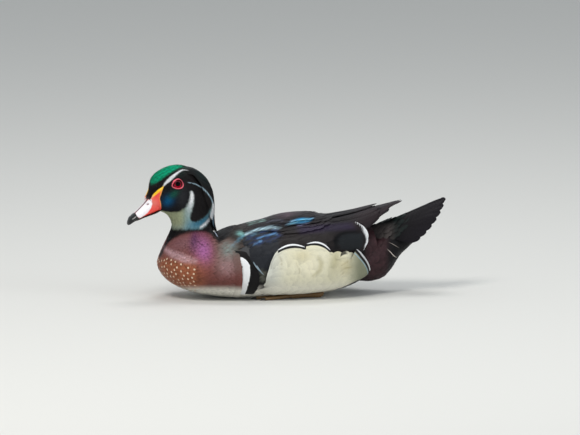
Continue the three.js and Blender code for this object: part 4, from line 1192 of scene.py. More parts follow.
def lay_breast_edge(vanes, rng, mirror):
    """A row of feathers that ends evenly in front of the bars."""
    heights = np.arange(EDGE_FROM, EDGE_TO, EDGE_STEP)
    number = len(heights)
    edge = np.interp(heights, EDGE_HEIGHTS, EDGE_X) + jitter(rng, number, 0.25)
    tip = pairs(*on_body(edge, heights - TIP_DROP, *TIP_SECTIONS))
    root = pairs(*on_body(edge - EDGE_LONG, heights + ROOT_LIFT, *ROOT_SECTIONS))
    shade = varied(number, rng, 0.06)

    def front(view, t, s, k):
        c = body_colour(np.minimum(view, [BAR_LEFT - EDGE_INSET, np.inf]))
        return toned(c, shade[k], 0.92, 1.06, smooth(0.5, 1, t))

    vanes.lay(body, root, tip, EDGE_HALF, front, rows=7, sunk=1.2, clear=0.6, raised=1.1, thick=0.3,
              camber=0.12, bow=0.22, mirror=mirror)


def make_neck_coat(looks):
    """Feathers of the neck and breast, with the breast's pale spots."""
    rng = np.random.default_rng(SEED + 22)
    vanes = Vanes()
    lay_breast(vanes, rng)
    lay_breast_spots(vanes, rng)
    for mirror, _ in SIDES:
        lay_breast_edge(vanes, rng, mirror)
    return finish_piece(vanes.make("coat_breast", looks["breast"]), "breast")


# The back's coat: its sections and angles, how far it reaches down at back and rump, a feather's size
BACK_COAT, BACK_ANGLES = (0.05, 5.1), (-2.1, 2.1)
BACK_REACH, RUMP_REACH = 1.75, 2.0
RUMP_SECTIONS = (1, 3)
BACK_LONG, BACK_HALF = 15, 4.2


def make_back_coat(looks):
    """Feathers of the back, rump and hind flank."""
    rng = np.random.default_rng(SEED + 23)
    close = 4.2
    tries = 26000

    def keep(u, v):
        return np.abs(v) < mix(RUMP_REACH, BACK_REACH, smooth(*RUMP_SECTIONS, u))

    u, v = scatter(body, BACK_COAT, BACK_ANGLES, close, tries, 3, keep)
    shade = varied(len(u), rng, 0.15)

    def paint(view, t, s, k):
        return toned(body_colour(view), shade[k], 0.8, 1.15, smooth(0.5, 1, t))

    vanes = Vanes()
    long = BACK_LONG * rng.uniform(0.9, 1.1, len(u))
    lay_body(vanes, u, v, long, BACK_HALF, paint, rng, rows=6, sunk=1.6, clear=-0.3, raised=0.7, tilt=0.12,
             camber=0.4)
    return finish_piece(vanes.make("coat_back", looks["gloss"]), "breast")


BELLY_COAT = (0.3, 7.4)
BELLY_ANGLES = (1.7, 2 * math.pi - 1.7)
BELLY_LONG, BELLY_HALF = 15, 4.4


def make_belly_coat(looks):
    """Soft pale feathers of the belly."""
    rng = np.random.default_rng(SEED + 24)
    close = 4.6
    tries = 26000
    u, v = scatter(body, BELLY_COAT, BELLY_ANGLES, close, tries, 4)
    v = np.where(v > math.pi, v - 2 * math.pi, v)
    shade = varied(len(u), rng, 0.05)

    def paint(view, t, s, k):
        return toned(body_colour(view), shade[k], 0.9, 1.04, t)

    vanes = Vanes()
    long = BELLY_LONG * rng.uniform(0.9, 1.1, len(u))
    lay_body(vanes, u, v, long, BELLY_HALF, paint, rng, sunk=1.6, clear=-0.8, raised=-0.1, tilt=0.1,
             camber=0.35)
    return finish_piece(vanes.make("coat_belly", looks["soft"]), "flank")


# The crest, a fall of long narrow feathers from the crown and nape

CREST_LINE = [(213, 214), (213.2, 222), (213.6, 230), (216, 234.6), (218.8, 237.6)]
CREST_MARKS = [
    (CROWN_BLACK, 1, past(DOWN, 227.5, 229.5)),
    (colour(12, 40, 40), 0.5, blob(204, 175, 14, 7, 45)),
    (colour(34, 26, 44), 0.4, blob(214.6, 212, 3, 18)),
    (WHITE, 1, line(COLLAR_LINE[:4], [1.8, 3.4, 3.6, 3.4], 0.8)),
    (BLUE_WHITE, 0.8, line(CREST_LINE, [0.2, 0.6, 0.5, 0.6, 0.3], 0.5)),
]
CREST_BLACK = past(DOWN, 190, 199)
CREST_START, CREST_LAST, CREST_LATEST = -0.02, 0.66, 0.72
STRAY_PALE = colour(176, 188, 208)

# Three loose locks on the back, by section and angle
STRAY_ROOTS = [(10.9, 0.04), (10.8, 0.2), (10.5, 0.1)]
STRAY_TIPS = [(8.35, 0.2), (8.15, 0.3), (7.9, 0.42)]
STRAY_LINED = 2


def crest_colour(q):
    return lay_marks(head_colour(q), q, CREST_MARKS)


def lay_crest_layer(vanes, rng, share, start_share, per):
    """One layer of locks across the crest. The layers' starts run down from the brow."""
    across = np.clip(np.linspace(-1, 1, per) + jitter(rng, per, 0.6 / per), -1, 1)
    start = np.clip(mix(CREST_START, CREST_LAST, start_share) + jitter(rng, per, 0.03), 0.0, CREST_LATEST)
    reach = rng.uniform(0.26, 0.36, per)
    end = np.minimum(start + reach, 1.0 - 0.05 * np.abs(across) - rng.uniform(0, 0.03, per))
    shade = varied(per, rng, 0.15)
    middle = 1 - smooth(0.26, 0.42, np.abs(across))

    def paint(view, t, s, k):
        c = lay_over(crest_colour(view), CROWN_BLACK, middle[k] * CREST_BLACK(view))
        return toned(c, shade[k], 0.88, 1.1, t)

    vanes.lay(crest, pairs(start, across), pairs(end, across * rng.uniform(0.9, 1.0, per)),
              mix(1.6, 0.9, share), paint, rows=8, outline="point", clear=-0.3, raised=0.2, tilt=0.08,
              camber=0.15, bow=0.03)


def lay_stray_locks(vanes):
    def stray(view, t, s, k):
        pale = smooth(0.3, 0.5, t) * smooth(-0.4, 0.0, s) * (k == STRAY_LINED)
        return lay_over(flat_colour(view, CROWN_BLACK), STRAY_PALE, 0.9 * pale)

    vanes.lay(body, STRAY_ROOTS, STRAY_TIPS, [1.4, 1.3, 1.5], stray, rows=24, columns=7, outline="point",
              sunk=0.2, clear=1.5, raised=1.4, camber=0.1, bow=0.02, thick=0.4, sweep=-1.2)


def make_crest(looks):
    rng = np.random.default_rng(SEED + 25)
    vanes = Vanes()
    layers = 15
    per = 60
    for layer in range(layers):
        lay_crest_layer(vanes, rng, layer / layers, layer / (layers - 1), per)
    lay_stray_locks(vanes)
    made = vanes.make("crest_feathers", looks["gloss"])
    return finish_piece(made, "crest", "crest")


# Forms under wings and flanks

SLAB_ROUGHNESS = {"wing": 0.6, "flank": 0.7}


def slab_triangles(rows, columns):
    """Triangles of two grids one over the other, with walls between their edges."""
    top = grid_triangles(rows, columns)
    size = rows * columns
    faces = [top, top[:, ::-1] + size]
    index = np.arange(size).reshape(rows, columns)
    for edge, flip in ((index[0], False), (index[-1], True), (index[:, 0], True), (index[:, -1], False)):
        a, b = edge[:-1], edge[1:]
        wall = np.concatenate([np.stack([a, a + size, b], 1), np.stack([b, a + size, b + size], 1)])
        faces.append(wall[:, ::-1] if flip else wall)
    return np.concatenate(faces)


def make_slabs(name, chart, u, v, outer, inner, paint):
    """A closed slab on a chart between two depths, on both sides, for the form of that name."""
    rows, columns = v.shape
    uu, vv = np.broadcast_arrays(u[:, None], v)
    p, _, _, n = chart_frame(chart, uu, vv)
    points = np.concatenate([(p + n * depth).reshape(-1, 3) for depth in (outer, inner)])
    triangles = facing_out(points, slab_triangles(rows, columns))
    shade = paint(side_view(points))
    spots = np.meshgrid(np.linspace(0.01, 0.49, rows), np.linspace(0.01, 0.49, columns), indexing="ij")
    bake = np.stack(spots, -1).reshape(-1, 2)
    bake = np.concatenate([bake, bake + [0.5, 0]])
    material = painted_material(name + "_form", SLAB_ROUGHNESS[name])
    for mirror, side in SIDES:
        pts, tris = (points * FLIP, triangles[:, ::-1]) if mirror else (points, triangles)
        made = make_object(name + "_form_" + side, pts, tris, material, shade, bake)
        finish_piece(made, name, name + "_" + side)


# Upright bars at the side of the breast, each from its top down as height and x

BLACK_BAR = np.array([
    (57, -52), (53.5, -49), (49, -46.6), (44, -44), (39, -41.6), (34, -39.6), (29, -38.6), (24, -38.4),
    (19, -38.8), (14, -40), (9.5, -42),
], float)
WHITE_BAR = np.array([
    (51, -56.8), (49, -54), (46.5, -51.4), (44, -50), (39, -49.4), (34, -49.5), (29, -50), (24, -50.8),
    (19, -51.5), (14, -52), (9.5, -52.6),
], float)
BAR_STEP, BAR_HALF, BAR_DROP = 1.35, 2.6, 1.0

# Each bar with its colour, lift and feather length
BARS_IN_TURN = ((BLACK_BAR, BLACK, 0.1, 20), (WHITE_BAR, WHITE, 0.5, 11))


def make_bars(looks):
    """The white bar and the black bar between breast and flank."""
    for mirror, side in SIDES:
        rng = np.random.default_rng(SEED + (27 if mirror else 28))
        vanes = Vanes()
        for bar, shade, lift, long in BARS_IN_TURN:
            heights = np.arange(bar[-1, 0], bar[0, 0], BAR_STEP)
            tips = np.interp(heights, bar[::-1, 0], bar[::-1, 1]) + jitter(rng, len(heights), 0.3)
            tip = pairs(*on_body(tips, heights - BAR_DROP, *TIP_SECTIONS))
            root = pairs(*on_body(tips - long, heights + ROOT_LIFT, *ROOT_SECTIONS))

            # Each bar feather is painted a little darker towards its covered root, a painted shade
            def paint(view, t, s, k):
                return flat_colour(view, shade) * mix(0.94, 1.0, t)[..., None]

            vanes.lay(body, root, tip, BAR_HALF, paint, rows=9, columns=5, sunk=1.2, clear=0.1 + lift,
                      raised=0.3 + lift, tilt=0.04, camber=0.15, mirror=mirror)
        finish_piece(vanes.make("side_bars_" + side, looks["soft"]), "breast")


# Wings

def form_angle(rows, x, z):
    """Angle on a form's section at a height."""
    s = along(rows, place_of(rows, np.asarray(x, float)))
    top, side, low = s[..., 1], s[..., 3], s[..., 4]
    rise = np.where(z > side, (z - side) / (top - side), -(side - z) / (side - low))
    return np.arccos(power(np.clip(rise, -1, 1), FORM_ROUND / 2))


def on_form(rows, x, z):
    """Chart places of points on a form, from x and height."""
    return pairs(x, form_angle(rows, x, z))


TEAL_SHEEN_LINE = [(249, 224.8), (257, 222.2), (265.6, 220.4)]
SILVER_SHEEN_LINE = [(233, 243.2), (238.8, 237.5), (248, 232.9), (259.4, 229.4), (271, 227.1), (280, 228.3)]
BLUE_SHEEN_PATCH = [(288, 224.6), (291.5, 220.8), (296, 218.6), (301, 217.8), (307, 218.6), (313, 217.8),
              (310, 221), (305, 223), (300, 223.6), (295, 223)]
SPECULUM = [(338, 243), (338, 238.5), (342, 235), (350, 233.6), (362, 233.4), (363.5, 240), (361, 248.5),
            (349, 250.5), (341, 249)]
SHOULDER_PATCH = [(240, 240), (262, 230), (279, 236), (280, 260), (262, 290), (240, 290)]
SPECULUM_EDGE = [(336.5, 248), (335.6, 240), (339, 235), (346, 232.6), (358, 232)]
GLINT = colour(104, 156, 208)
WING_BASE = colour(29, 25, 27)
WING_MARKS = [
    (MANTLE, 0.9, before(ACROSS, 240, 262), before(DOWN, 228, 240)),
    (colour(40, 36, 36), 0.8, area([(276, 231), (334, 231), (334, 246), (276, 247)], 5)),
    (colour(40, 42, 47), 1, area(SHOULDER_PATCH, 5)),
    # Painted blue sheen in streaks over the dark feathers of the shoulder
    (colour(34, 52, 92), 0.9, streaked(-18, 5),
     area([(245, 234), (262, 228), (280, 226), (281, 238), (262, 244), (250, 246)], 5)),
    # Silver and teal streaks and blue glints: painted sheen and highlights
    (colour(186, 220, 232), 0.95, line(SILVER_SHEEN_LINE, [1, 1.8, 2.6, 3, 2.6, 1], 2.2),
     streaked(-24, 15, 0.45, 0.55)),
    (colour(78, 120, 138), 0.7, line([(247, 238), (256, 233.6), (268, 231)], [1, 1.8, 1], 1.6),
     streaked(-20, 16)),
    (GLINT, 0.8, line([(254.6, 243.6), (261.6, 240.6)], [0.8, 1.2], 1.4)),
    (GLINT, 0.75, line([(258, 237.8), (266, 235.6)], [0.8, 1.0], 1.4)),
    (GLINT, 0.8, line([(268, 234.8), (276.6, 233.4)], [0.8, 1.2], 1.4)),
    # A teal line with a pale middle along the top edge of the near scapulars, a painted highlight
    (colour(92, 132, 126), 0.4, line(TEAL_SHEEN_LINE, [1.0, 1.4, 1.0], 2)),
    (colour(176, 222, 212), 0.7, line(TEAL_SHEEN_LINE, [0.5, 0.9, 0.6], 1.0)),
    # A pink-grey sheen on the tertials, painted
    (colour(104, 82, 94), 0.7, blob(287, 214.4, 9, 3, -12), streaked(-30, 21, 0.6, 0.5)),
    (colour(96, 98, 114), 0.55,
     line([(267, 222.6), (273, 220.4), (280, 220.2), (286, 222.4)], [0.8, 1.6, 1.6, 0.8], 1.5)),
    # The blue patch and the pale strokes over it are painted sheen on the tertials
    (colour(40, 136, 186), 1, area(BLUE_SHEEN_PATCH, 1.8), streaked(-14, 6, 0.5, 0.5)),
    (colour(126, 190, 210), 0.7, line([(290, 224.4), (299, 220.6), (308, 218.8)], [0.8, 1.6, 0.8], 1.2)),
    (BLUE_WHITE, 0.8, line([(288.3, 223.8), (291, 221.8), (295.6, 220.2)], [0.7, 1.5, 0.5], 1.0)),
    (BLUE_WHITE, 0.6, line([(305.6, 220.8), (312.6, 218.6)], [0.5, 0.9], 0.8)),
    (colour(134, 134, 172), 0.5, line([(292, 225.6), (299, 225.2), (308, 224.2)], [1, 1.8, 1], 1.2),
     streaked(-12, 22)),
    (colour(48, 38, 66), 0.5, area([(296, 227), (352, 222), (356, 229), (300, 234)], 5)),
    (colour(9, 9, 12), 1, line(SPECULUM_EDGE, [4, 5, 4, 3, 2], 2)),
    (colour(33, 36, 39), 1, area(SPECULUM, 2.5)),
    (GREY, 0.7, area(GREY_SLIVER, 2.5)),
    (colour(42, 34, 37), 0.8, past(ACROSS, 345, 362), before(DOWN, 222, 232)),
]


def wing_colour(q):
    """Markings of the mantle, scapulars and folded wing."""
    return lay_marks(flat_colour(q, WING_BASE), q, WING_MARKS)


def wing_paint(rng, number, amount=0.14, white=None):
    """Wing colours that differ from feather to feather, with white ends of a given share of the length."""
    shade = varied(number, rng, amount)

    def paint(view, t, s, k):
        c = toned(wing_colour(view), shade[k], 0.86, 1.1, smooth(0.4, 1, t))
        return c if white is None else lay_over(c, WHITE, smooth(0, WHITE_EDGE, t - 1 + white[k]))
    return paint


# Primaries: how many, the first one's tip as x and degrees, the step from one to the next, length, half width
PRIMARIES = 6
PRIMARY_X, PRIMARY_STEP = 134.5, 5.6
PRIMARY_TURN, PRIMARY_FAN = 22, 6.5
PRIMARY_LENGTH, PRIMARY_HALF, PRIMARY_SLANT = 62, 5.0, 0.12


def lay_primaries(vanes, rng, mirror):
    k = np.arange(PRIMARIES)
    tip_x = PRIMARY_X - PRIMARY_STEP * k
    tip_v = np.radians(PRIMARY_TURN + PRIMARY_FAN * k)
    root = pairs(tip_x - PRIMARY_LENGTH, tip_v + PRIMARY_SLANT)
    vanes.lay(wing, root, pairs(tip_x, tip_v), PRIMARY_HALF, wing_paint(rng, PRIMARIES), rows=14, columns=5,
              outline="quill", clear=0.1, raised=0.2, lift=0.15 * k, tilt=0.3, camber=0.5, bow=0.02,
              mirror=mirror)


# Secondaries: their tips stand in a curved line down the wing, each with a white end
SECONDARIES = 24
SECONDARY_X, SECONDARY_TOP, SECONDARY_FALL = 88.5, 85, 27
UPPER_CURVE, LOWER_CURVE = 50, 18
SECONDARY_LENGTH, SECONDARY_HALF = 50, 4.6
WHITE_EDGE = 0.012
WHITE_PLACES = [0, 0.3, 0.75, 1]
WHITE_SHARES = [0.02, 0.042, 0.044, 0.022]


def lay_secondaries(vanes, rng, mirror):
    f = np.linspace(0, 1, SECONDARIES)
    curve = np.where(f < 0.5, UPPER_CURVE, LOWER_CURVE) * (f - 0.5) ** 2
    tip_x = SECONDARY_X - curve + jitter(rng, SECONDARIES, 0.15)
    tip_z = SECONDARY_TOP - SECONDARY_FALL * f
    root = on_form(WING_FORM, tip_x - SECONDARY_LENGTH, tip_z - 8 + 2 * f)
    white = np.interp(f, WHITE_PLACES, WHITE_SHARES)
    vanes.lay(wing, root, on_form(WING_FORM, tip_x, tip_z), SECONDARY_HALF,
              wing_paint(rng, SECONDARIES, 0.1, white), rows=18, columns=7, outline="square", clear=0.6,
              raised=1.4, lift=0.3 - 0.12 * f, tilt=0.35, camber=0.3, bow=0.05, mirror=mirror)


# Tertials: tip x, tip height, length, root height. The first one's tip lies close to the back's middle
TERTIALS = np.array([
    [106, 99, 76, 88], [108.5, 97.6, 72, 86.4], [107, 95, 68, 84.4], [104, 91.8, 62, 82],
    [98.5, 88.4, 56, 79], [93, 85, 50, 76],
], float)
FIRST_TERTIAL_ANGLE, TERTIAL_HALF = 0.05, 6.6


def lay_tertials(vanes, rng, mirror):
    tip_x, tip_z, length, root_z = TERTIALS.T
    number = len(TERTIALS)
    tip = on_form(WING_FORM, tip_x, tip_z)
    tip[0, 1] = FIRST_TERTIAL_ANGLE
    vanes.lay(wing, on_form(WING_FORM, tip_x - length, root_z), tip, TERTIAL_HALF, wing_paint(rng, number),
              rows=18, columns=9, outline="tertial", clear=0.9, raised=1.2,
              lift=1.4 - 0.25 * np.arange(number), tilt=0.35, camber=0.6, bow=0.06, mirror=mirror)


# Wing coverts: where they start, the angles of their lower edge there and its slope, and their rear edge
COVERT_FRONT = -66
COVERTS, COVERT_ANGLES = (COVERT_FRONT, 60), (0.3, 2.0)
COVERT_LONG, COVERT_LONG_GROWTH, COVERT_HALF = 17, 0.08, 5.6
COVERT_LOW, COVERT_LOW_SLOPE = 1.95, 0.009
COVERT_REAR, COVERT_REAR_SLOPE = 66, 9
COVERT_GROWTH = 0.012


def lay_coverts(vanes, rng, mirror):
    close = 5.6

    def spacing(u, v):
        return close + COVERT_GROWTH * (u - COVERT_FRONT)

    def keep(u, v):
        low = COVERT_LOW - COVERT_LOW_SLOPE * (u + 60)
        front = mix(COVERT_FRONT, -45, smooth(0.5, 1.0, v))
        return (u < COVERT_REAR - COVERT_REAR_SLOPE * np.abs(v - 0.9)) & (v < low) & (u > front)

    u, v = scatter(wing, COVERTS, COVERT_ANGLES, spacing, 16000, 40 + mirror, keep)
    order = np.argsort(-u)
    u, v = u[order], v[order]
    number = len(u)
    long = (COVERT_LONG + COVERT_LONG_GROWTH * (u - COVERT_FRONT)) * rng.uniform(0.9, 1.1, number)
    half = COVERT_HALF + COVERT_GROWTH * (u - COVERT_FRONT)
    vanes.lay(wing, pairs(u - 0.55 * long, v + 0.03), pairs(u + 0.45 * long, v), half,
              wing_paint(rng, number, 0.08), rows=9, columns=5, sunk=1.4, clear=0.1, raised=0.45, tilt=0.1,
              camber=0.25, bow=0.24, mirror=mirror)


# Two thin pale feathers at the wing's bend: root x and height, tip x and height
SLIPS = np.array([[-47.3, 49, -36.4, 34.6], [-43.5, 45.6, -33.6, 32]], float)
SLIP_PALE = colour(150, 170, 182)


def lay_slips(vanes, mirror):
    def paint(view, t, s, k):
        return flat_colour(view, SLIP_PALE) * smooth(-0.1, 0.4, t)[..., None]

    root_x, root_z, tip_x, tip_z = SLIPS.T
    vanes.lay(wing, on_form(WING_FORM, root_x, root_z), on_form(WING_FORM, tip_x, tip_z), [0.6, 0.7], paint,
              rows=12, outline="point", sunk=0.5, clear=1.1, raised=1.3, camber=0.1, bow=0.0, sweep=0.8,
              mirror=mirror)


def make_wings(looks):
    """The folded wings: primaries, secondaries with white ends, tertials and coverts."""
    for mirror, side in SIDES:
        rng = np.random.default_rng(SEED + (31 if mirror else 32))
        vanes = Vanes()
        lay_primaries(vanes, rng, mirror)
        lay_secondaries(vanes, rng, mirror)
        lay_tertials(vanes, rng, mirror)
        lay_coverts(vanes, rng, mirror)
        lay_slips(vanes, mirror)
        finish_piece(vanes.make("wing_feathers_" + side, looks["quill"]), "wing")
    u = np.linspace(-64, 118, 70)
    v = np.linspace(0.0, 1.5, 40)[None] * mix(1, 0.75, smooth(40, 100, u))[:, None]
    # The form under the wing takes the wing's colours darkened to 0.7, a painted shade under the feathers
    make_slabs("wing", wing, u, v, -0.7, -4.5, lambda view: wing_colour(view) * 0.7)


# Scapulars: how far their hump stands up, by x
HUMP_X = [-36, -20, -8, 2, 13, 20, 27, 33]
HUMP = [0, 0.8, 2.4, 3.5, 3.5, 2.6, 1.2, 0.3]
HUMP_ANGLES = (0.3, 0.68)
SCAPULAR_EDGE, SCAPULAR_NARROWING, SCAPULAR_MIDDLE = 0.78, 0.007, 5
SCAPULAR_GROWS = (-50, 20)
SCAPULARS, SCAPULAR_ANGLES = (-62, 34), (0.0, 0.8)
SCAPULAR_LONG, SCAPULAR_HALF = (17, 34), (4.8, 7)


def make_scapulars(looks):
    """Long drooping feathers over the shoulders and the middle of the back."""
    for mirror, side in SIDES:
        rng = np.random.default_rng(SEED + (51 if mirror else 52))
        close = 5.4

        def keep(u, v):
            return v < SCAPULAR_EDGE - SCAPULAR_NARROWING * np.abs(u - SCAPULAR_MIDDLE)

        u, v = scatter(wing, SCAPULARS, SCAPULAR_ANGLES, close, 9000, 60 + mirror, keep)
        number = len(u)
        shade = varied(number, rng, 0.16)
        middle = (1 - smooth(0.0, 0.06, v)) * (1 - smooth(-30, -10, u))

        def paint(view, t, s, k):
            c = lay_over(wing_colour(view), MANTLE, 0.9 * middle[k] + 0 * t)
            return toned(c, shade[k], 0.85, 1.12, smooth(0.4, 1, t))

        grown = smooth(*SCAPULAR_GROWS, u)
        long = mix(*SCAPULAR_LONG, grown) * rng.uniform(0.9, 1.1, number)
        hump = np.interp(u, HUMP_X, HUMP) * (1 - smooth(*HUMP_ANGLES, v)) + 0.5 * smooth(-60, -30, u)
        vanes = Vanes()
        vanes.lay(wing, pairs(u - 0.5 * long, v * 0.92), pairs(u + 0.5 * long, v + 0.02),
                  mix(*SCAPULAR_HALF, grown), paint, rows=11, columns=5, clear=0.8, raised=1.2, lift=hump,
                  tilt=0.16, camber=0.4, mirror=mirror)
        piece = vanes.make("scapular_feathers_" + side, looks["gloss"])
        finish_piece(piece, "scapulars", "scapulars_" + side)


# Flanks

# Upper feathers: tip x, tip height, direction in degrees, length, half width, curve, lift, and how much
# black, white and inner line each has
UPPER_FLANK = np.array([
    [-18.4, 59.2, 75, 42, 6, 0.3, 0.1, 0, 0, 0], [-11.4, 63.8, 80, 46, 8.5, 0.16, 0.2, 0, 0, 0],
    [44.5, 56, 74, 30, 9.5, 0.2, 0.05, 0, 0, 0], [53.5, 56.2, 80, 30, 10, 0.2, 0.1, 0, 0, 0],
    [71, 53.2, 66, 30, 9.5, 0.2, 0.05, 0, 0, 0], [31, 68.2, 74, 40, 14.6, 0.15, 0.15, 1, 1, 0],
    [-3.2, 67, 95, 40, 16, 0.12, 0.4, 1, 1, 0], [87.6, 41.8, 47, 34, 22, 0.18, 0.1, 1, 0.75, 1],
    [62.6, 56, 82, 27, 11, 0.3, 0.8, 0.9, 0, 0],
], float)
BAND_START, INNER_LINE, WHITE_START = 0.866, 0.85, 0.94
BAND_EDGE = 0.012

# The flank's upper edge: x and height
FLANK_EDGE_X = [-30, -24, -14, -2, 18, 34, 46, 62, 78, 90]
FLANK_EDGE_Z = [20, 45, 61, 65, 63, 63, 55, 54, 46, 34]

FLANK_BASE = colour(230, 226, 200)
FLANK_SHADOW = colour(160, 148, 104)
# Lines of painted shadow along the edges of the flank's broad feathers
FLANK_SHADOW_LINES = [
    [(338, 272.5), (346, 267.8), (354, 266.6)], [(341, 265.5), (347, 261.4), (353, 259.8)],
    [(336, 275.5), (345, 272.6), (352, 273.4)], [(279, 254), (282, 262), (281, 271)],
    [(296, 262), (300, 270), (298, 277)],
]
FLANK_MARKS = [
    (colour(216, 218, 208), 1, before(ACROSS, 268, 292)),
    # Lighter and darker patches on the broad feathers' lobes, painted light and shade
    (colour(216, 208, 170), 0.8, blob(303, 256, 9, 6)),
    (colour(240, 234, 206), 0.8, blob(311, 267, 8, 9)),
    (colour(186, 180, 142), 0.8, blob(335, 260, 6, 16, 12)),
    (colour(206, 196, 156), 0.8, blob(346, 266, 8, 8)),
    (colour(122, 126, 102), 0.9, past(ACROSS, 343, 361)),
    # A darker arc at a lobe's edge, a painted shade
    (colour(180, 172, 130), 0.6, line([(318, 257), (321.5, 263), (320, 270), (313, 276)], [2, 4, 4, 2], 4)),
    *((FLANK_SHADOW, 0.45, line(fold, [0.6, 1.2, 0.5], 1.1)) for fold in FLANK_SHADOW_LINES),
    (colour(238, 235, 222), 0.8, past(DOWN, 278, 290)),
]


def flank_edge(x):
    return np.interp(x, FLANK_EDGE_X, FLANK_EDGE_Z)


def flank_colour(q):
    return lay_marks(flat_colour(q, FLANK_BASE), q, FLANK_MARKS)


def lay_upper_flank(vanes, mirror):
    """Large feathers, most of them ending in a black band and a white one."""
    x, z, rise, long, half, bow, lift, black, white, inner = UPPER_FLANK.T
    rise = np.radians(rise)
    root = on_form(FLANK_FORM, x - long * np.cos(rise), z - long * np.sin(rise))
    tip = on_form(FLANK_FORM, x, z)
    for i in np.argsort(lift):
        def banded(view, t, s, k):
            left_only = 1 - smooth(-0.2, 0.25, s) * (white[i] == 0)
            band = smooth(0, BAND_EDGE, t - BAND_START - 0.02 * s ** 2)
            c = lay_over(flank_colour(view), BLACK, black[i] * left_only * band)
            c = lay_over(c, BLUE_WHITE, inner[i] * np.exp(-((t - INNER_LINE) / 0.01) ** 2))
            return lay_over(c, WHITE, smooth(0, 0.01, t - WHITE_START - 0.04 * s ** 4) * white[i])

        vanes.lay(flank, root[i:i + 1], tip[i:i + 1], half[i], banded, rows=60, columns=21,
                  outline="round" if i == 0 else "fan", sunk=1.5, clear=0.2, raised=0.6,
                  curl=-4.0 * (inner[i] == 0), lift=lift[i], camber=0.35, bow=bow[i], thick=0.5,
                  mirror=mirror)


# The lower flank's coat: its part of the chart, how far it keeps from the ends and the upper edge, and the
# length and half width of its feathers
LOWER_FLANK, LOWER_FLANK_ANGLES = (-46, 84), (0.7, 2.3)
LOWER_FLANK_FRONT, LOWER_FLANK_REAR, LOWER_FLANK_CLEAR = -21, 72, 14
LOWER_FLANK_LONG, LOWER_FLANK_HALF = (22, 27), 7.6


def lay_lower_flank(vanes, rng, mirror):
    close = 6.0

    def keep(u, v):
        height = flank(u, v)[..., 2]
        ahead = LOWER_FLANK_FRONT - 0.35 * np.maximum(26 - height, 0)
        behind = LOWER_FLANK_REAR - 0.3 * np.maximum(20 - height, 0)
        under = height < flank_edge(u + 5) - LOWER_FLANK_CLEAR
        return under & (height > 1.5) & (u > ahead) & (u < behind)

    u, v = scatter(flank, LOWER_FLANK, LOWER_FLANK_ANGLES, close, 12000, 80 + mirror, keep)
    number = len(u)
    shade = varied(number, rng, 0.03)

    def paint(view, t, s, k):
        return toned(flank_colour(view), shade[k], 0.88, 1.05, smooth(0.4, 1, t))

    long = rng.uniform(*LOWER_FLANK_LONG, number)
    height = flank(u, v)[..., 2]
    rise = np.radians(mix(8, 52, smooth(8, 45, height)) * mix(1.3, 0.7, smooth(-30, 80, u)))
    ahead, up = 0.5 * long * np.cos(rise), 0.5 * long * np.sin(rise)
    root = on_form(FLANK_FORM, u - ahead, np.maximum(height - up, 0))
    tip = on_form(FLANK_FORM, u + ahead, height + up)
    vanes.lay(flank, root, tip, LOWER_FLANK_HALF, paint, rows=11, columns=7, sunk=1.5, raised=0.5,
              tilt=0.05, camber=0.18, bow=0.26, thick=0.3, mirror=mirror)


def make_flanks(looks):
    """Broad pale feathers finely barred, the upper ones ending in black and white."""
    for mirror, side in SIDES:
        rng = np.random.default_rng(SEED + (71 if mirror else 72))
        vanes = Vanes()
        lay_upper_flank(vanes, mirror)
        lay_lower_flank(vanes, rng, mirror)
        finish_piece(vanes.make("flank_feathers_" + side, looks["flank"]), "flank")
    u = np.linspace(-30, 86, 60)
    high = form_angle(FLANK_FORM, u, flank_edge(u) - 9)
    v = high[:, None] + (2.5 - high[:, None]) * np.linspace(0, 1, 40)[None]
    # The form under the flank takes the flank's colours darkened to 0.8, a painted shade under the feathers
    make_slabs("flank", flank, u, v, -0.8, -5, lambda view: flank_colour(view) * 0.8)


# Tail

OUTER_QUILL, INNER_QUILL, QUILLS_A_SIDE = 0.94, 0.07, 7
QUILL_ROOT, QUILL_ROOT_SPREAD, QUILL_HALF = -0.02, 0.75, 8.6
TAIL_COVERTS, TAIL_COVERTS_ACROSS, TAIL_COVERT_HALF = (-0.12, 0.42), (-1, 1), 4.8
UNDERTAIL_COAT, UNDERTAIL_HALF = (86, 152), 4.4
QUILL_SHEEN = colour(24, 21, 27)
COVERT_GREEN = colour(10, 32, 30)
COVERT_GREY = colour(64, 58, 57)
COVERT_GREY_MASKS = (before(ACROSS, 388, 398), past(DOWN, 220, 227))
UNDER_BLACK = colour(14, 13, 15)
UNDER_MAROON = before(ACROSS, 384, 391)
UNDER_FORM_BLACK = colour(14, 14, 17)
UNDERTAIL_END = 160

# Two pale threads at the side of the tail's root: x and angle in degrees of root and tip, and strength
THREADS = np.array([[110, 58, 126.5, 126, 1], [113, 47, 128.5, 98, 0.5]])
THREAD_DARK, THREAD_PALE = colour(60, 48, 44), colour(206, 196, 186)


def make_tail_fan(looks, rng):
    side = np.concatenate([np.linspace(-OUTER_QUILL, -INNER_QUILL, QUILLS_A_SIDE),
                           np.linspace(INNER_QUILL, OUTER_QUILL, QUILLS_A_SIDE)])
    side = side[np.argsort(-np.abs(side))]
    shade = varied(len(side), rng, 0.1)

    def paint(view, t, s, k):
        c = lay_over(flat_colour(view, TAIL_BLACK), QUILL_SHEEN, 0.6 * smooth(0.2, 0.9, t))
        return toned(c, shade[k], 0.85, 1.1, smooth(-1, 1, s))

    vanes = Vanes()
    vanes.lay(tail, pairs(0 * side + QUILL_ROOT, side * QUILL_ROOT_SPREAD), pairs(0 * side + 1.0, side),
              QUILL_HALF, paint, rows=20, columns=7, outline="quill", sunk=0.6, raised=0.4, thick=0.6,
              lift=2.0 * (1 - np.abs(side)), camber=0.6, bow=0.03)
    finish_piece(vanes.make("tail_feathers", looks["tail"]), "tail", "tail")


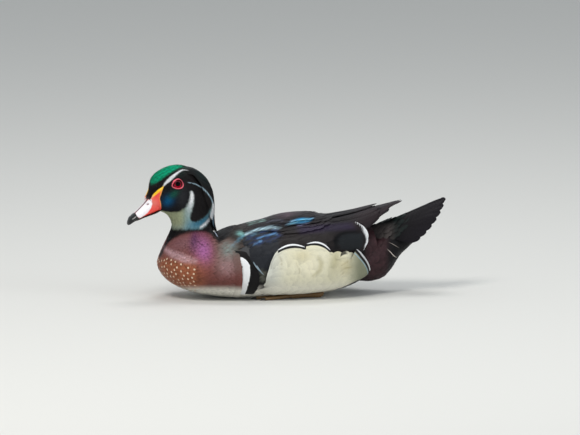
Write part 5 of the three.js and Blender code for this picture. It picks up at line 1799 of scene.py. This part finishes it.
def make_tail_coverts(looks, rng, close):
    u, v = scatter(tail, TAIL_COVERTS, TAIL_COVERTS_ACROSS, close, 6000, 91)
    shade = varied(len(u), rng, 0.15)
    behind, low = COVERT_GREY_MASKS

    def paint(view, t, s, k):
        c = lay_over(flat_colour(view, RUMP), COVERT_GREEN, 0.4 * smooth(0.3, 1, t))
        c = lay_over(c, COVERT_GREY, 0.85 * behind(view) * low(view))
        return toned(c, shade[k], 0.8, 1.2, smooth(0.4, 1, t))

    lift = 2.6 * (1 - smooth(-0.1, 0.55, u)) + 1.2 * (1 - np.abs(v))
    vanes = Vanes()
    vanes.lay(tail, pairs(u - 0.08, v * 0.92), pairs(u + 0.14, v), TAIL_COVERT_HALF, paint, rows=7, sunk=0.6,
              raised=0.6, lift=lift, tilt=0.15, camber=0.35)
    made = vanes.make("tail_covert_feathers", looks["gloss"])
    finish_piece(made, "tail_coverts_upper", "tail_coverts_upper")


def lay_threads(vanes, mirror):
    root_x, root_turn, tip_x, tip_turn, strength = THREADS.T

    def paint(view, t, s, k):
        return lay_over(flat_colour(view, THREAD_DARK), THREAD_PALE, smooth(0.1, 0.5, t) * strength[k])

    vanes.lay(undertail, pairs(root_x, np.radians(root_turn)), pairs(tip_x, np.radians(tip_turn)),
              [0.45, 0.3], paint, rows=14, outline="point", sunk=0.2, clear=0.7, raised=0.9, camber=0.1,
              bow=0.0, sweep=-1.5, mirror=mirror)


def make_undertail(looks, rng, close):
    """Soft dark feathers under the tail, over a form of their own."""
    u, v = scatter(undertail, UNDERTAIL_COAT, ROUND, close, 9000, 92)
    shade = varied(len(u), rng, 0.15)

    def paint(view, t, s, k):
        c = lay_over(flat_colour(view, UNDER_BLACK), MAROON, 0.8 * UNDER_MAROON(view))
        return toned(c, shade[k], 0.8, 1.25, smooth(0.4, 1, t))

    vanes = Vanes()
    reach = np.minimum(9, UNDERTAIL_END - u)
    vanes.lay(undertail, pairs(u - 8, v), pairs(u + reach, v), UNDERTAIL_HALF, paint, rows=7, sunk=1.2,
              clear=-0.2, raised=0.5, tilt=0.15, camber=0.4)
    for mirror, _ in SIDES:
        lay_threads(vanes, mirror)
    finish_piece(vanes.make("undertail_feathers", looks["gloss"]), "tail_coverts_lower", "tail_coverts_lower")

    x, angle = ring_grid(85, 157, 50, 60)
    p, _, _, n = chart_frame(undertail, x, angle)
    rings = p - n * np.minimum(1.6, (UNDERTAIL_END - x[..., None]) * 0.1 + 0.2)
    paint = loft_paint(flat_colour(rings, UNDER_FORM_BLACK))
    made = make_loft("undertail_form", rings, paint, painted_material("undertail_form", 0.6))
    finish_piece(made, "tail_coverts_lower")


def make_tail(looks):
    rng = np.random.default_rng(SEED + 90)
    close = 4.8
    make_tail_fan(looks, rng)
    make_tail_coverts(looks, rng, close)
    make_undertail(looks, rng, close)


# Bill and eyes

def head_view(forward, left, up):
    return shown(from_head(forward, np.abs(left), up))


BILL_RED = colour(230, 68, 58)
BILL_PINK = colour(226, 132, 118)
BILL_YELLOW = colour(246, 196, 20)
BILL_ORANGE = colour(236, 150, 60)
BILL_WHITE = colour(244, 240, 244)
BILL_BLACK = colour(16, 17, 16)
WHITE_PATCH = [(136, 213.2), (140, 209), (144, 205), (148, 200.6), (150.8, 198.8), (152.4, 200), (152.8, 204),
               (151.4, 208.4), (147.8, 213.2), (143.6, 216.4), (140.6, 218.2), (137.6, 216.6)]
NAIL = [(120, 205), (134.6, 210), (136.2, 213.6), (138.4, 217), (141.4, 219.2), (140.6, 226), (120, 232)]
BILL_MARKS = [
    (BILL_PINK, 0.6, blob(154, 203, 5, 4)),
    (BILL_WHITE, 1, area(WHITE_PATCH, 1.1)),
    (BILL_PINK, 0.8, line([(153.2, 194.6), (149.6, 198.2), (147, 200)], [2.6, 2.2, 1.2], 1.5)),
    (BILL_ORANGE, 1,
     line([(163.6, 188.6), (161.6, 193.6), (160.5, 198.4), (162.4, 208.6)], [2.4, 1.7, 1.3, 1.4], 0.8)),
    (BILL_YELLOW, 1,
     line([(163.8, 185.6), (159.9, 189.6), (156.6, 192.4), (153.2, 195.4)], [3.6, 4.2, 3.8, 3.2], 1.0)),
    (colour(236, 178, 130), 0.8, blob(152, 197, 2.4, 1.6, -40)),
]
NAIL_MARKS = [
    (BILL_BLACK, 1, area(NAIL, 0.8)),
    (colour(96, 28, 32), 1, blob(148.4, 204.5, 1.25, 0.9, -40)),
]
RIDGE_EDGE = (0.05, 0.08)
RIDGE_BACK = before(ACROSS, 149.4, 151)


def bill_colour(view, ridge):
    """Bill markings. ridge runs from 0 on the top line to 1 on the sides."""
    c = lay_marks(flat_colour(view, BILL_RED), view, BILL_MARKS)
    c = lay_over(c, BILL_BLACK, (1 - smooth(*RIDGE_EDGE, ridge)) * RIDGE_BACK(view))
    return lay_marks(c, view, NAIL_MARKS)


def bill_ring(out, angle):
    s = along(BILL, place_of(BILL, out))
    high, low, half = s[..., 1], s[..., 2], s[..., 3]
    middle = mix(low, high, 0.3)
    c = np.cos(angle)
    up = np.where(c > 0, middle + (high - middle) * power(c, 0.85), middle + (middle - low) * power(c, 0.5))
    return out, half * power(np.sin(angle), 0.85), up


# The nostril: forward and up of its middle, its half sizes, its depth, and the least distance from the ridge
NOSTRIL_X, NOSTRIL_Z = 33.6, -22.4
NOSTRIL_LONG, NOSTRIL_HIGH = 1.7, 0.9
NOSTRIL_DEPTH, NOSTRIL_SIDE = 1.6, 3
UPPER_BILL = (21.2, 54.97)
BILL_BASE = (17.0, 21.99)
BASE_SUNK, BASE_RAISED = -2.2, 1.25
LOWER_BILL = (12, 47.6)
LOWER_TAPER, LOWER_THINS = (42, 47.7), (44, 47.6)
GAPE = 21
LOWER_INSET, LOWER_NARROWS, LOWER_RISES, LOWER_DROP, LOWER_HALF_HEIGHT = 2.2, 0.45, 0.33, 0.9, 0.95
LOWER_HORN = colour(50, 36, 32)


def make_upper_bill(horn, rows, columns):
    out, angle = ring_grid(*UPPER_BILL, rows, columns)
    forward, left, up = bill_ring(out, angle)
    pit = np.exp(-(((forward - NOSTRIL_X) / NOSTRIL_LONG) ** 2 + ((up - NOSTRIL_Z) / NOSTRIL_HIGH) ** 2))
    left = left - np.sign(left) * NOSTRIL_DEPTH * pit * (np.abs(left) > NOSTRIL_SIDE)
    paint = bill_colour(head_view(forward, left, up), np.abs(angle) / (math.pi / 2))
    made = make_loft("bill_upper_horn", from_head(forward, left, up), loft_paint(paint), horn)
    finish_piece(made, "bill_upper", "bill_upper")


def make_bill_base(horn, rows, columns):
    """The bare skin at the bill's root."""
    place, angle = ring_grid(*BILL_BASE, rows, columns)
    q = straight_body(place, angle, mix(BASE_SUNK, BASE_RAISED, bare_amount(place, angle, 1.6)))
    view = head_view(HEAD_X - q[..., 0], -q[..., 1], q[..., 2] - HEAD_Z)
    paint = loft_paint(bill_colour(view, np.ones_like(angle)))
    finish_piece(make_loft("bill_base", turned(q, 1.0), paint, horn), "bill_upper")


def make_lower_bill(horn, rows, columns):
    out, angle = ring_grid(*LOWER_BILL, rows, columns)
    s = along(BILL, np.clip(place_of(BILL, out), 0, None))
    back = np.clip(GAPE - out, 0, None)
    taper = np.sqrt(np.clip(1 - smooth(*LOWER_TAPER, out) * 0.9, 0.02, 1))
    half = (s[..., 3] - LOWER_INSET - LOWER_NARROWS * back) * taper
    low = s[..., 2] + LOWER_RISES * back - LOWER_DROP
    deep = LOWER_HALF_HEIGHT * power(np.cos(angle), 0.7) * mix(1, 0.5, smooth(*LOWER_THINS, out))
    rings = from_head(out, half * power(np.sin(angle), 0.8), low + deep)
    made = make_loft("bill_lower_horn", rings, loft_paint(flat_colour(rings, LOWER_HORN)), horn)
    finish_piece(made, "bill_lower", "bill_lower")


def make_bill():
    rows, columns = ((200, 140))
    horn = painted_material("bill", 0.3, coat=0.25, noise=0.03, scale=1500, bump=0.03)
    make_upper_bill(horn, rows, columns)
    make_bill_base(horn, rows, columns)
    make_lower_bill(horn, rows // 2, 48)


# Eyes: the way they look, and the iris from its rim to the pupil, as distances from the middle
GAZE = np.array([0.17, 1.0, -0.02])
EYE_ROWS, EYE_COLUMNS = 60, 64
IRIS_EDGE, PUPIL_EDGE = (4.5, 5.3), (2.75, 2.98)
# Heights over which the iris darkens towards its top, a painted shadow of the lid
IRIS_SHADE = (-3.2, 1.5)
IRIS_RING, IRIS_RING_SOFT, IRIS_RING_TOP = 3.2, 0.3, (-2, 1)
EYE_BACK = (1.2, 1.5)
EYE_DARK, PUPIL = colour(24, 12, 12), colour(2, 1, 2)
IRIS_RED, IRIS_SHADOWED, IRIS_PALE = colour(176, 8, 44), colour(66, 8, 16), colour(150, 60, 76)
SOCKET = colour(20, 12, 12)

# The ring of bare skin: half lengths and half heights of its inner and outer edges, and their shift down
RING_INNER, RING_OUTER = (5.5, 4.6, 0.2), (6.9, 5.95, 0.45)
RING_POINT_AT, RING_POINT_WIDE = 0.45, 0.34
INNER_POINT, OUTER_POINT, POINT_DROP = 0.3, 0.5, 0.3
RING_WAVES, RING_WAVE = 3, 0.045
RING_BULGE, RING_THICK = 1.25, 2.2
RING_DARK, RING_RED = colour(140, 16, 34), colour(232, 98, 114)


def eye_axes():
    """Directions ahead, over and out of an eye that looks along its gaze."""
    gaze = GAZE / np.linalg.norm(GAZE)
    ahead = np.cross(np.array([0, 0, 1.0]), gaze)
    ahead /= np.linalg.norm(ahead)
    return ahead, np.cross(gaze, ahead), gaze


def eyeball_grid():
    """An eyeball's points about its middle, with their colours."""
    polar, turn = np.meshgrid(np.linspace(0.01, math.pi - 0.01, EYE_ROWS),
                              np.linspace(0, 2 * math.pi, EYE_COLUMNS, endpoint=False), indexing="ij")
    ahead, over, gaze = eye_axes()
    ball = EYE_RADIUS * (np.sin(polar) * np.cos(turn))[..., None] * ahead
    ball = ball + EYE_RADIUS * (np.sin(polar) * np.sin(turn))[..., None] * over
    ball = ball + EYE_RADIUS * np.cos(polar)[..., None] * gaze
    across = EYE_RADIUS * np.sin(polar)
    height = across * np.sin(turn)
    # The iris is painted darker towards its top, a painted shadow of the lid
    red = mix(IRIS_RED, IRIS_SHADOWED, smooth(*IRIS_SHADE, height)[..., None])
    ring = np.exp(-((across - IRIS_RING) / IRIS_RING_SOFT) ** 2) * smooth(*IRIS_RING_TOP, height)
    iris = lay_over(flat_colour(ball, EYE_DARK), red, 1 - smooth(*IRIS_EDGE, across))
    iris = lay_over(iris, IRIS_PALE, 0.4 * ring)
    iris = lay_over(iris, PUPIL, 1 - smooth(*PUPIL_EDGE, across))
    return ball, lay_over(iris, SOCKET, smooth(*EYE_BACK, polar))


def eye_ring_grid():
    """The ring's rows from inner to outer edge: places on the head's side, how far out, and shares."""
    turn = np.linspace(0, 2 * math.pi, 96, endpoint=False)
    away = (turn + RING_POINT_AT + math.pi) % (2 * math.pi) - math.pi
    point = np.exp(-(away / RING_POINT_WIDE) ** 2)
    swell = 1 + RING_WAVE * np.cos(RING_WAVES * away)
    s = np.linspace(0, 1, 15)
    long, high, down = RING_INNER
    inner = pairs((long * swell + INNER_POINT * point) * np.cos(turn), high * swell * np.sin(turn) - down)
    long, high, down = RING_OUTER
    outer = pairs((long * swell + OUTER_POINT * point) * np.cos(turn),
                  high * swell * np.sin(turn) - down - POINT_DROP * point)
    reach = np.minimum(np.linalg.norm(inner, axis=-1), EYE_RADIUS - 0.15)
    start = EYE_OUT + np.sqrt(EYE_RADIUS ** 2 - reach ** 2) - 0.2
    stop = head_out(outer[:, 0], outer[:, 1]) - 0.5
    bulge = RING_BULGE * np.sin(math.pi * s) ** 0.6
    out = mix(start[:, None], stop[:, None], smooth(0, 1, s)[None]) + bulge[None]
    return mix(inner[:, None], outer[:, None], s[None, :, None]), out, s


def make_eye_ring(side, sign, material):
    spread, out, s = eye_ring_grid()
    high = from_head(spread[..., 0], sign * out, spread[..., 1])
    low = from_head(spread[..., 0], sign * (out - RING_THICK), spread[..., 1])[:, ::-1]
    ring = np.concatenate([high, low], 1)
    count, round_it = ring.shape[:2]
    i, j = np.meshgrid(np.arange(count), np.arange(round_it), indexing="ij")
    a, b = i * round_it + j, i * round_it + (j + 1) % round_it
    c, d = ((i + 1) % count) * round_it + j, ((i + 1) % count) * round_it + (j + 1) % round_it
    triangles = np.concatenate([np.stack(three, -1).reshape(-1, 3) for three in ((a, b, c), (b, d, c))])
    shade = mix(RING_DARK, RING_RED, smooth(0.05, 0.5, s)[:, None])
    # The ring's underside, turned into the head, is painted at half brightness, a painted shade
    paint = np.tile(np.concatenate([shade, shade[::-1] * 0.5]), (count, 1))
    bake = np.stack([i.ravel() / count * 0.9 + 0.05, j.ravel() / round_it * 0.9 + 0.05], -1)
    points = ring.reshape(-1, 3)
    made = make_object("eye_ring_" + side, points, facing_out(points, triangles), material, paint, bake)
    finish_piece(made, "eye")


def make_eyes():
    """Glossy eyeballs set in the head, each in a red ring of bare skin."""
    ball_look = painted_material("eye", 0.16, coat=0.0, specular=0.06, noise=0.1, scale=2500, bump=0.0)
    ring_look = painted_material("eye_ring", 0.42, noise=0.08, scale=2500, bump=0.25)
    ball, iris = eyeball_grid()
    for mirror, side in SIDES:
        sign = -1 if mirror else 1
        p = from_head(ball[..., 0], sign * (EYE_OUT + ball[..., 1]), ball[..., 2])
        made = make_loft("eyeball_" + side, p, loft_paint(iris), ball_look)
        finish_piece(made, "eye", "eye_" + side)
        make_eye_ring(side, sign, ring_look)


# Legs, folded under the body

LEG_SKIN = colour(124, 94, 54)
LEG_SHADE = colour(84, 66, 44)
WEB = colour(96, 78, 52)
CLAW = colour(28, 25, 24)


def tube(path, radii, columns=24, rows=60, rings=0.0):
    """A round closed limb along a path, with scales that ring it."""
    table = np.column_stack([np.asarray(path, float), radii])
    place = np.linspace(0, len(table) - 1, rows)
    s = along(table, place)
    step = np.gradient(s[:, :3], axis=0)
    step /= np.linalg.norm(step, axis=1, keepdims=True)
    side = np.cross(step, np.array([0.0, 0.02, 1.0]))
    side /= np.linalg.norm(side, axis=1, keepdims=True)
    over = np.cross(side, step)
    angle = np.linspace(0, 2 * math.pi, columns, endpoint=False)
    radius = s[:, 3] * (1 + rings * np.abs(np.sin(np.arange(rows) * 0.9)))
    ring = side[:, None] * np.cos(angle)[None, :, None] + over[:, None] * np.sin(angle)[None, :, None]
    return closed_loft(s[:, None, :3] + ring * radius[:, None, None])


# The foot: the toes' root, toe heights from root to tip, and each toe's length and spread in degrees
ANKLE_X, ANKLE_Y = 2, -33
TOE_HEIGHTS = ([0, 0.5, 1], [3, 2.2, 1.9])
TOES = ((33, -17), (40, 0), (36, 16))
SHANK = [(2, -33, 3), (18, -31.6, 3.4), (36, -30, 4.2), (32, -27, 13.2)]
SHANK_RADII = [3.1, 2.5, 3.3, 3.4]
HIND_TOE = [(5, -31, 2.8), (9, -29, 2.6), (12.5, -27.5, 1.2)]
HIND_TOE_RADII = [1.7, 1.3, 0.5]
TOE_RADIUS, TOE_TAPER, TOE_KNUCKLES = 2.15, 0.5, 0.18
CLAW_LENGTH = 6
CLAW_RADII = [1.3, 1.0, 0.35]
WEB_START, WEB_REACH, WEB_SCALLOP = 0.05, 0.96, 0.16
WEB_SAG, WEB_PLEATS, WEB_THICK = 0.6, 0.08, 0.7
FOOT_REACH = 60


def toe_point(length, spread, share, up=0.0):
    a = math.radians(spread)
    height = np.interp(share, *TOE_HEIGHTS)
    return np.stack([ANKLE_X - np.cos(a) * length * share, ANKLE_Y + np.sin(a) * length * share,
                     height + up], -1)


def toe_parts(length, spread):
    """A toe and its claw."""
    share = np.linspace(0, 1, 9)
    radii = TOE_RADIUS - TOE_TAPER * share + TOE_KNUCKLES * np.cos(share * 6 * math.pi)
    claw = [toe_point(length, spread, 0.97, 0.1), toe_point(length, spread, 1.08, 0.1),
            toe_point(length, spread, 1 + CLAW_LENGTH / length, -1.1)]
    return [(*tube(toe_point(length, spread, share), radii, rings=0.06, rows=90), LEG_SKIN),
            (*tube(claw, CLAW_RADII, rows=20, columns=16), CLAW)]


def web_part(first, second):
    """The web between two toes."""
    rows, columns = 40, 24
    across = np.linspace(0, 1, columns)
    reach = WEB_REACH - WEB_SCALLOP * np.sin(math.pi * across)
    share = WEB_START + (reach - WEB_START)[None] * np.linspace(0, 1, rows)[:, None]
    sheet = mix(toe_point(*first, share), toe_point(*second, share), across[None, :, None])
    sheet[..., 2] -= WEB_SAG * np.sin(math.pi * across) + WEB_PLEATS * np.sin(across * 40)
    return *closed_loft(np.concatenate([sheet, (sheet - [0, 0, WEB_THICK])[:, ::-1]], 1)), WEB


def make_legs():
    """Folded legs with webbed toes."""
    skin = painted_material("leg_skin", 0.5, coat=0.1, noise=0.14, scale=1400, bump=0.3)
    parts = [(*tube(SHANK, SHANK_RADII, rings=0.05), LEG_SKIN), (*tube(HIND_TOE, HIND_TOE_RADII), LEG_SHADE)]
    for toe in TOES:
        parts += toe_parts(*toe)
    parts += [web_part(first, second) for first, second in zip(TOES, TOES[1:])]
    for mirror, side in SIDES:
        flip = FLIP if mirror else np.ones(3)
        points, triangles, paint, count = [], [], [], 0
        for part, faces, shade in parts:
            faces = facing_out(part - part.mean(0), faces)
            points.append(part * flip)
            triangles.append((faces[:, ::-1] if mirror else faces) + count)
            # Each part is painted darker where it lies low by the floor, a painted shade
            paint.append((0.8 + 0.2 * smooth(0.5, 4, part[:, 2:])) * shade)
            count += len(part)
        points = np.concatenate(points)
        bake = 0.02 + 0.96 * (points[:, :2] * flip[:2] + FOOT_REACH) / (2 * FOOT_REACH)
        made = make_object("leg_skin_" + side, points, np.concatenate(triangles), skin, np.concatenate(paint),
                           bake)
        finish_piece(made, "leg", "leg_" + side)


# Stage

FLOOR_REACH, FLOOR_CORNERS = 60.0, 96
FLOOR_GREY = colour(214, 214, 210)
SKY, SKY_STRENGTH = (0.9, 0.95, 1.0, 1), 0.5
LIT_POINT = (0, 0, 0.07)

# Lamps: name, place in metres, size, strength and tint
LAMPS = (
    ("key", (-0.9, -1.3, 1.9), 0.9, 30, (1.0, 0.97, 0.93)),
    ("fill", (1.4, -1.2, 0.9), 1.2, 8, (0.93, 0.96, 1.0)),
    ("top", (0.2, 0.5, 2.1), 1.0, 14, (1.0, 1.0, 1.0)),
)

# The camera: sensor and focal length in millimetres, direction in degrees, aim and distance in metres
SENSOR, LENS, CLIP_END = 36, 878.9, 100
CAMERA_TURN, CAMERA_RISE = -10, 8
AIM_RIGHT, AIM_UP, CAMERA_AWAY = 0.0063, 0.087, 16


def make_floor():
    mesh = bpy.data.meshes.new("floor")
    turn = np.linspace(0, 2 * math.pi, FLOOR_CORNERS, endpoint=False)
    rim = [(FLOOR_REACH * math.cos(a), FLOOR_REACH * math.sin(a), 0.0) for a in turn]
    mesh.from_pydata(rim, [], [list(range(FLOOR_CORNERS))])
    floor = link("floor", mesh)
    material, _, shader = new_material("floor", 0.85, specular=0.2)
    shader.inputs["Base Color"].default_value = (*FLOOR_GREY, 1)
    mesh.materials.append(material)


def make_light():
    world = bpy.data.worlds.new("studio")
    world.use_nodes = True
    back = world.node_tree.nodes["Background"]
    back.inputs["Color"].default_value = SKY
    back.inputs["Strength"].default_value = SKY_STRENGTH
    bpy.context.scene.world = world
    for name, place, size, strength, tint in LAMPS:
        light = bpy.data.lights.new(name, "AREA")
        light.shape = "DISK"
        light.size = size
        light.energy = strength
        light.color = tint
        made = link(name, light)
        made.location = place
        made.rotation_euler = (Vector(LIT_POINT) - Vector(place)).to_track_quat("-Z", "Y").to_euler()


def make_camera():
    data = bpy.data.cameras.new("camera")
    data.sensor_width = SENSOR
    data.lens = LENS
    data.clip_end = CLIP_END
    made = link("camera", data)
    turn, rise = math.radians(CAMERA_TURN), math.radians(CAMERA_RISE)
    back = Vector((math.sin(turn) * math.cos(rise), -math.cos(turn) * math.cos(rise), math.sin(rise)))
    right = Vector((math.cos(turn), math.sin(turn), 0))
    made.location = right * AIM_RIGHT + back.cross(right) * AIM_UP + back * CAMERA_AWAY
    made.rotation_euler = back.to_track_quat("Z", "Y").to_euler()
    bpy.context.scene.camera = made
    bpy.context.scene.view_settings.view_transform = "Standard"


def main():
    make_camera()
    make_floor()
    make_light()
    looks = feather_looks()
    make_skin()
    make_head_coat(looks)
    make_neck_coat(looks)
    make_back_coat(looks)
    make_belly_coat(looks)
    make_bars(looks)
    make_crest(looks)
    make_wings(looks)
    make_scapulars(looks)
    make_flanks(looks)
    make_tail(looks)
    make_bill()
    make_eyes()
    make_legs()


main()
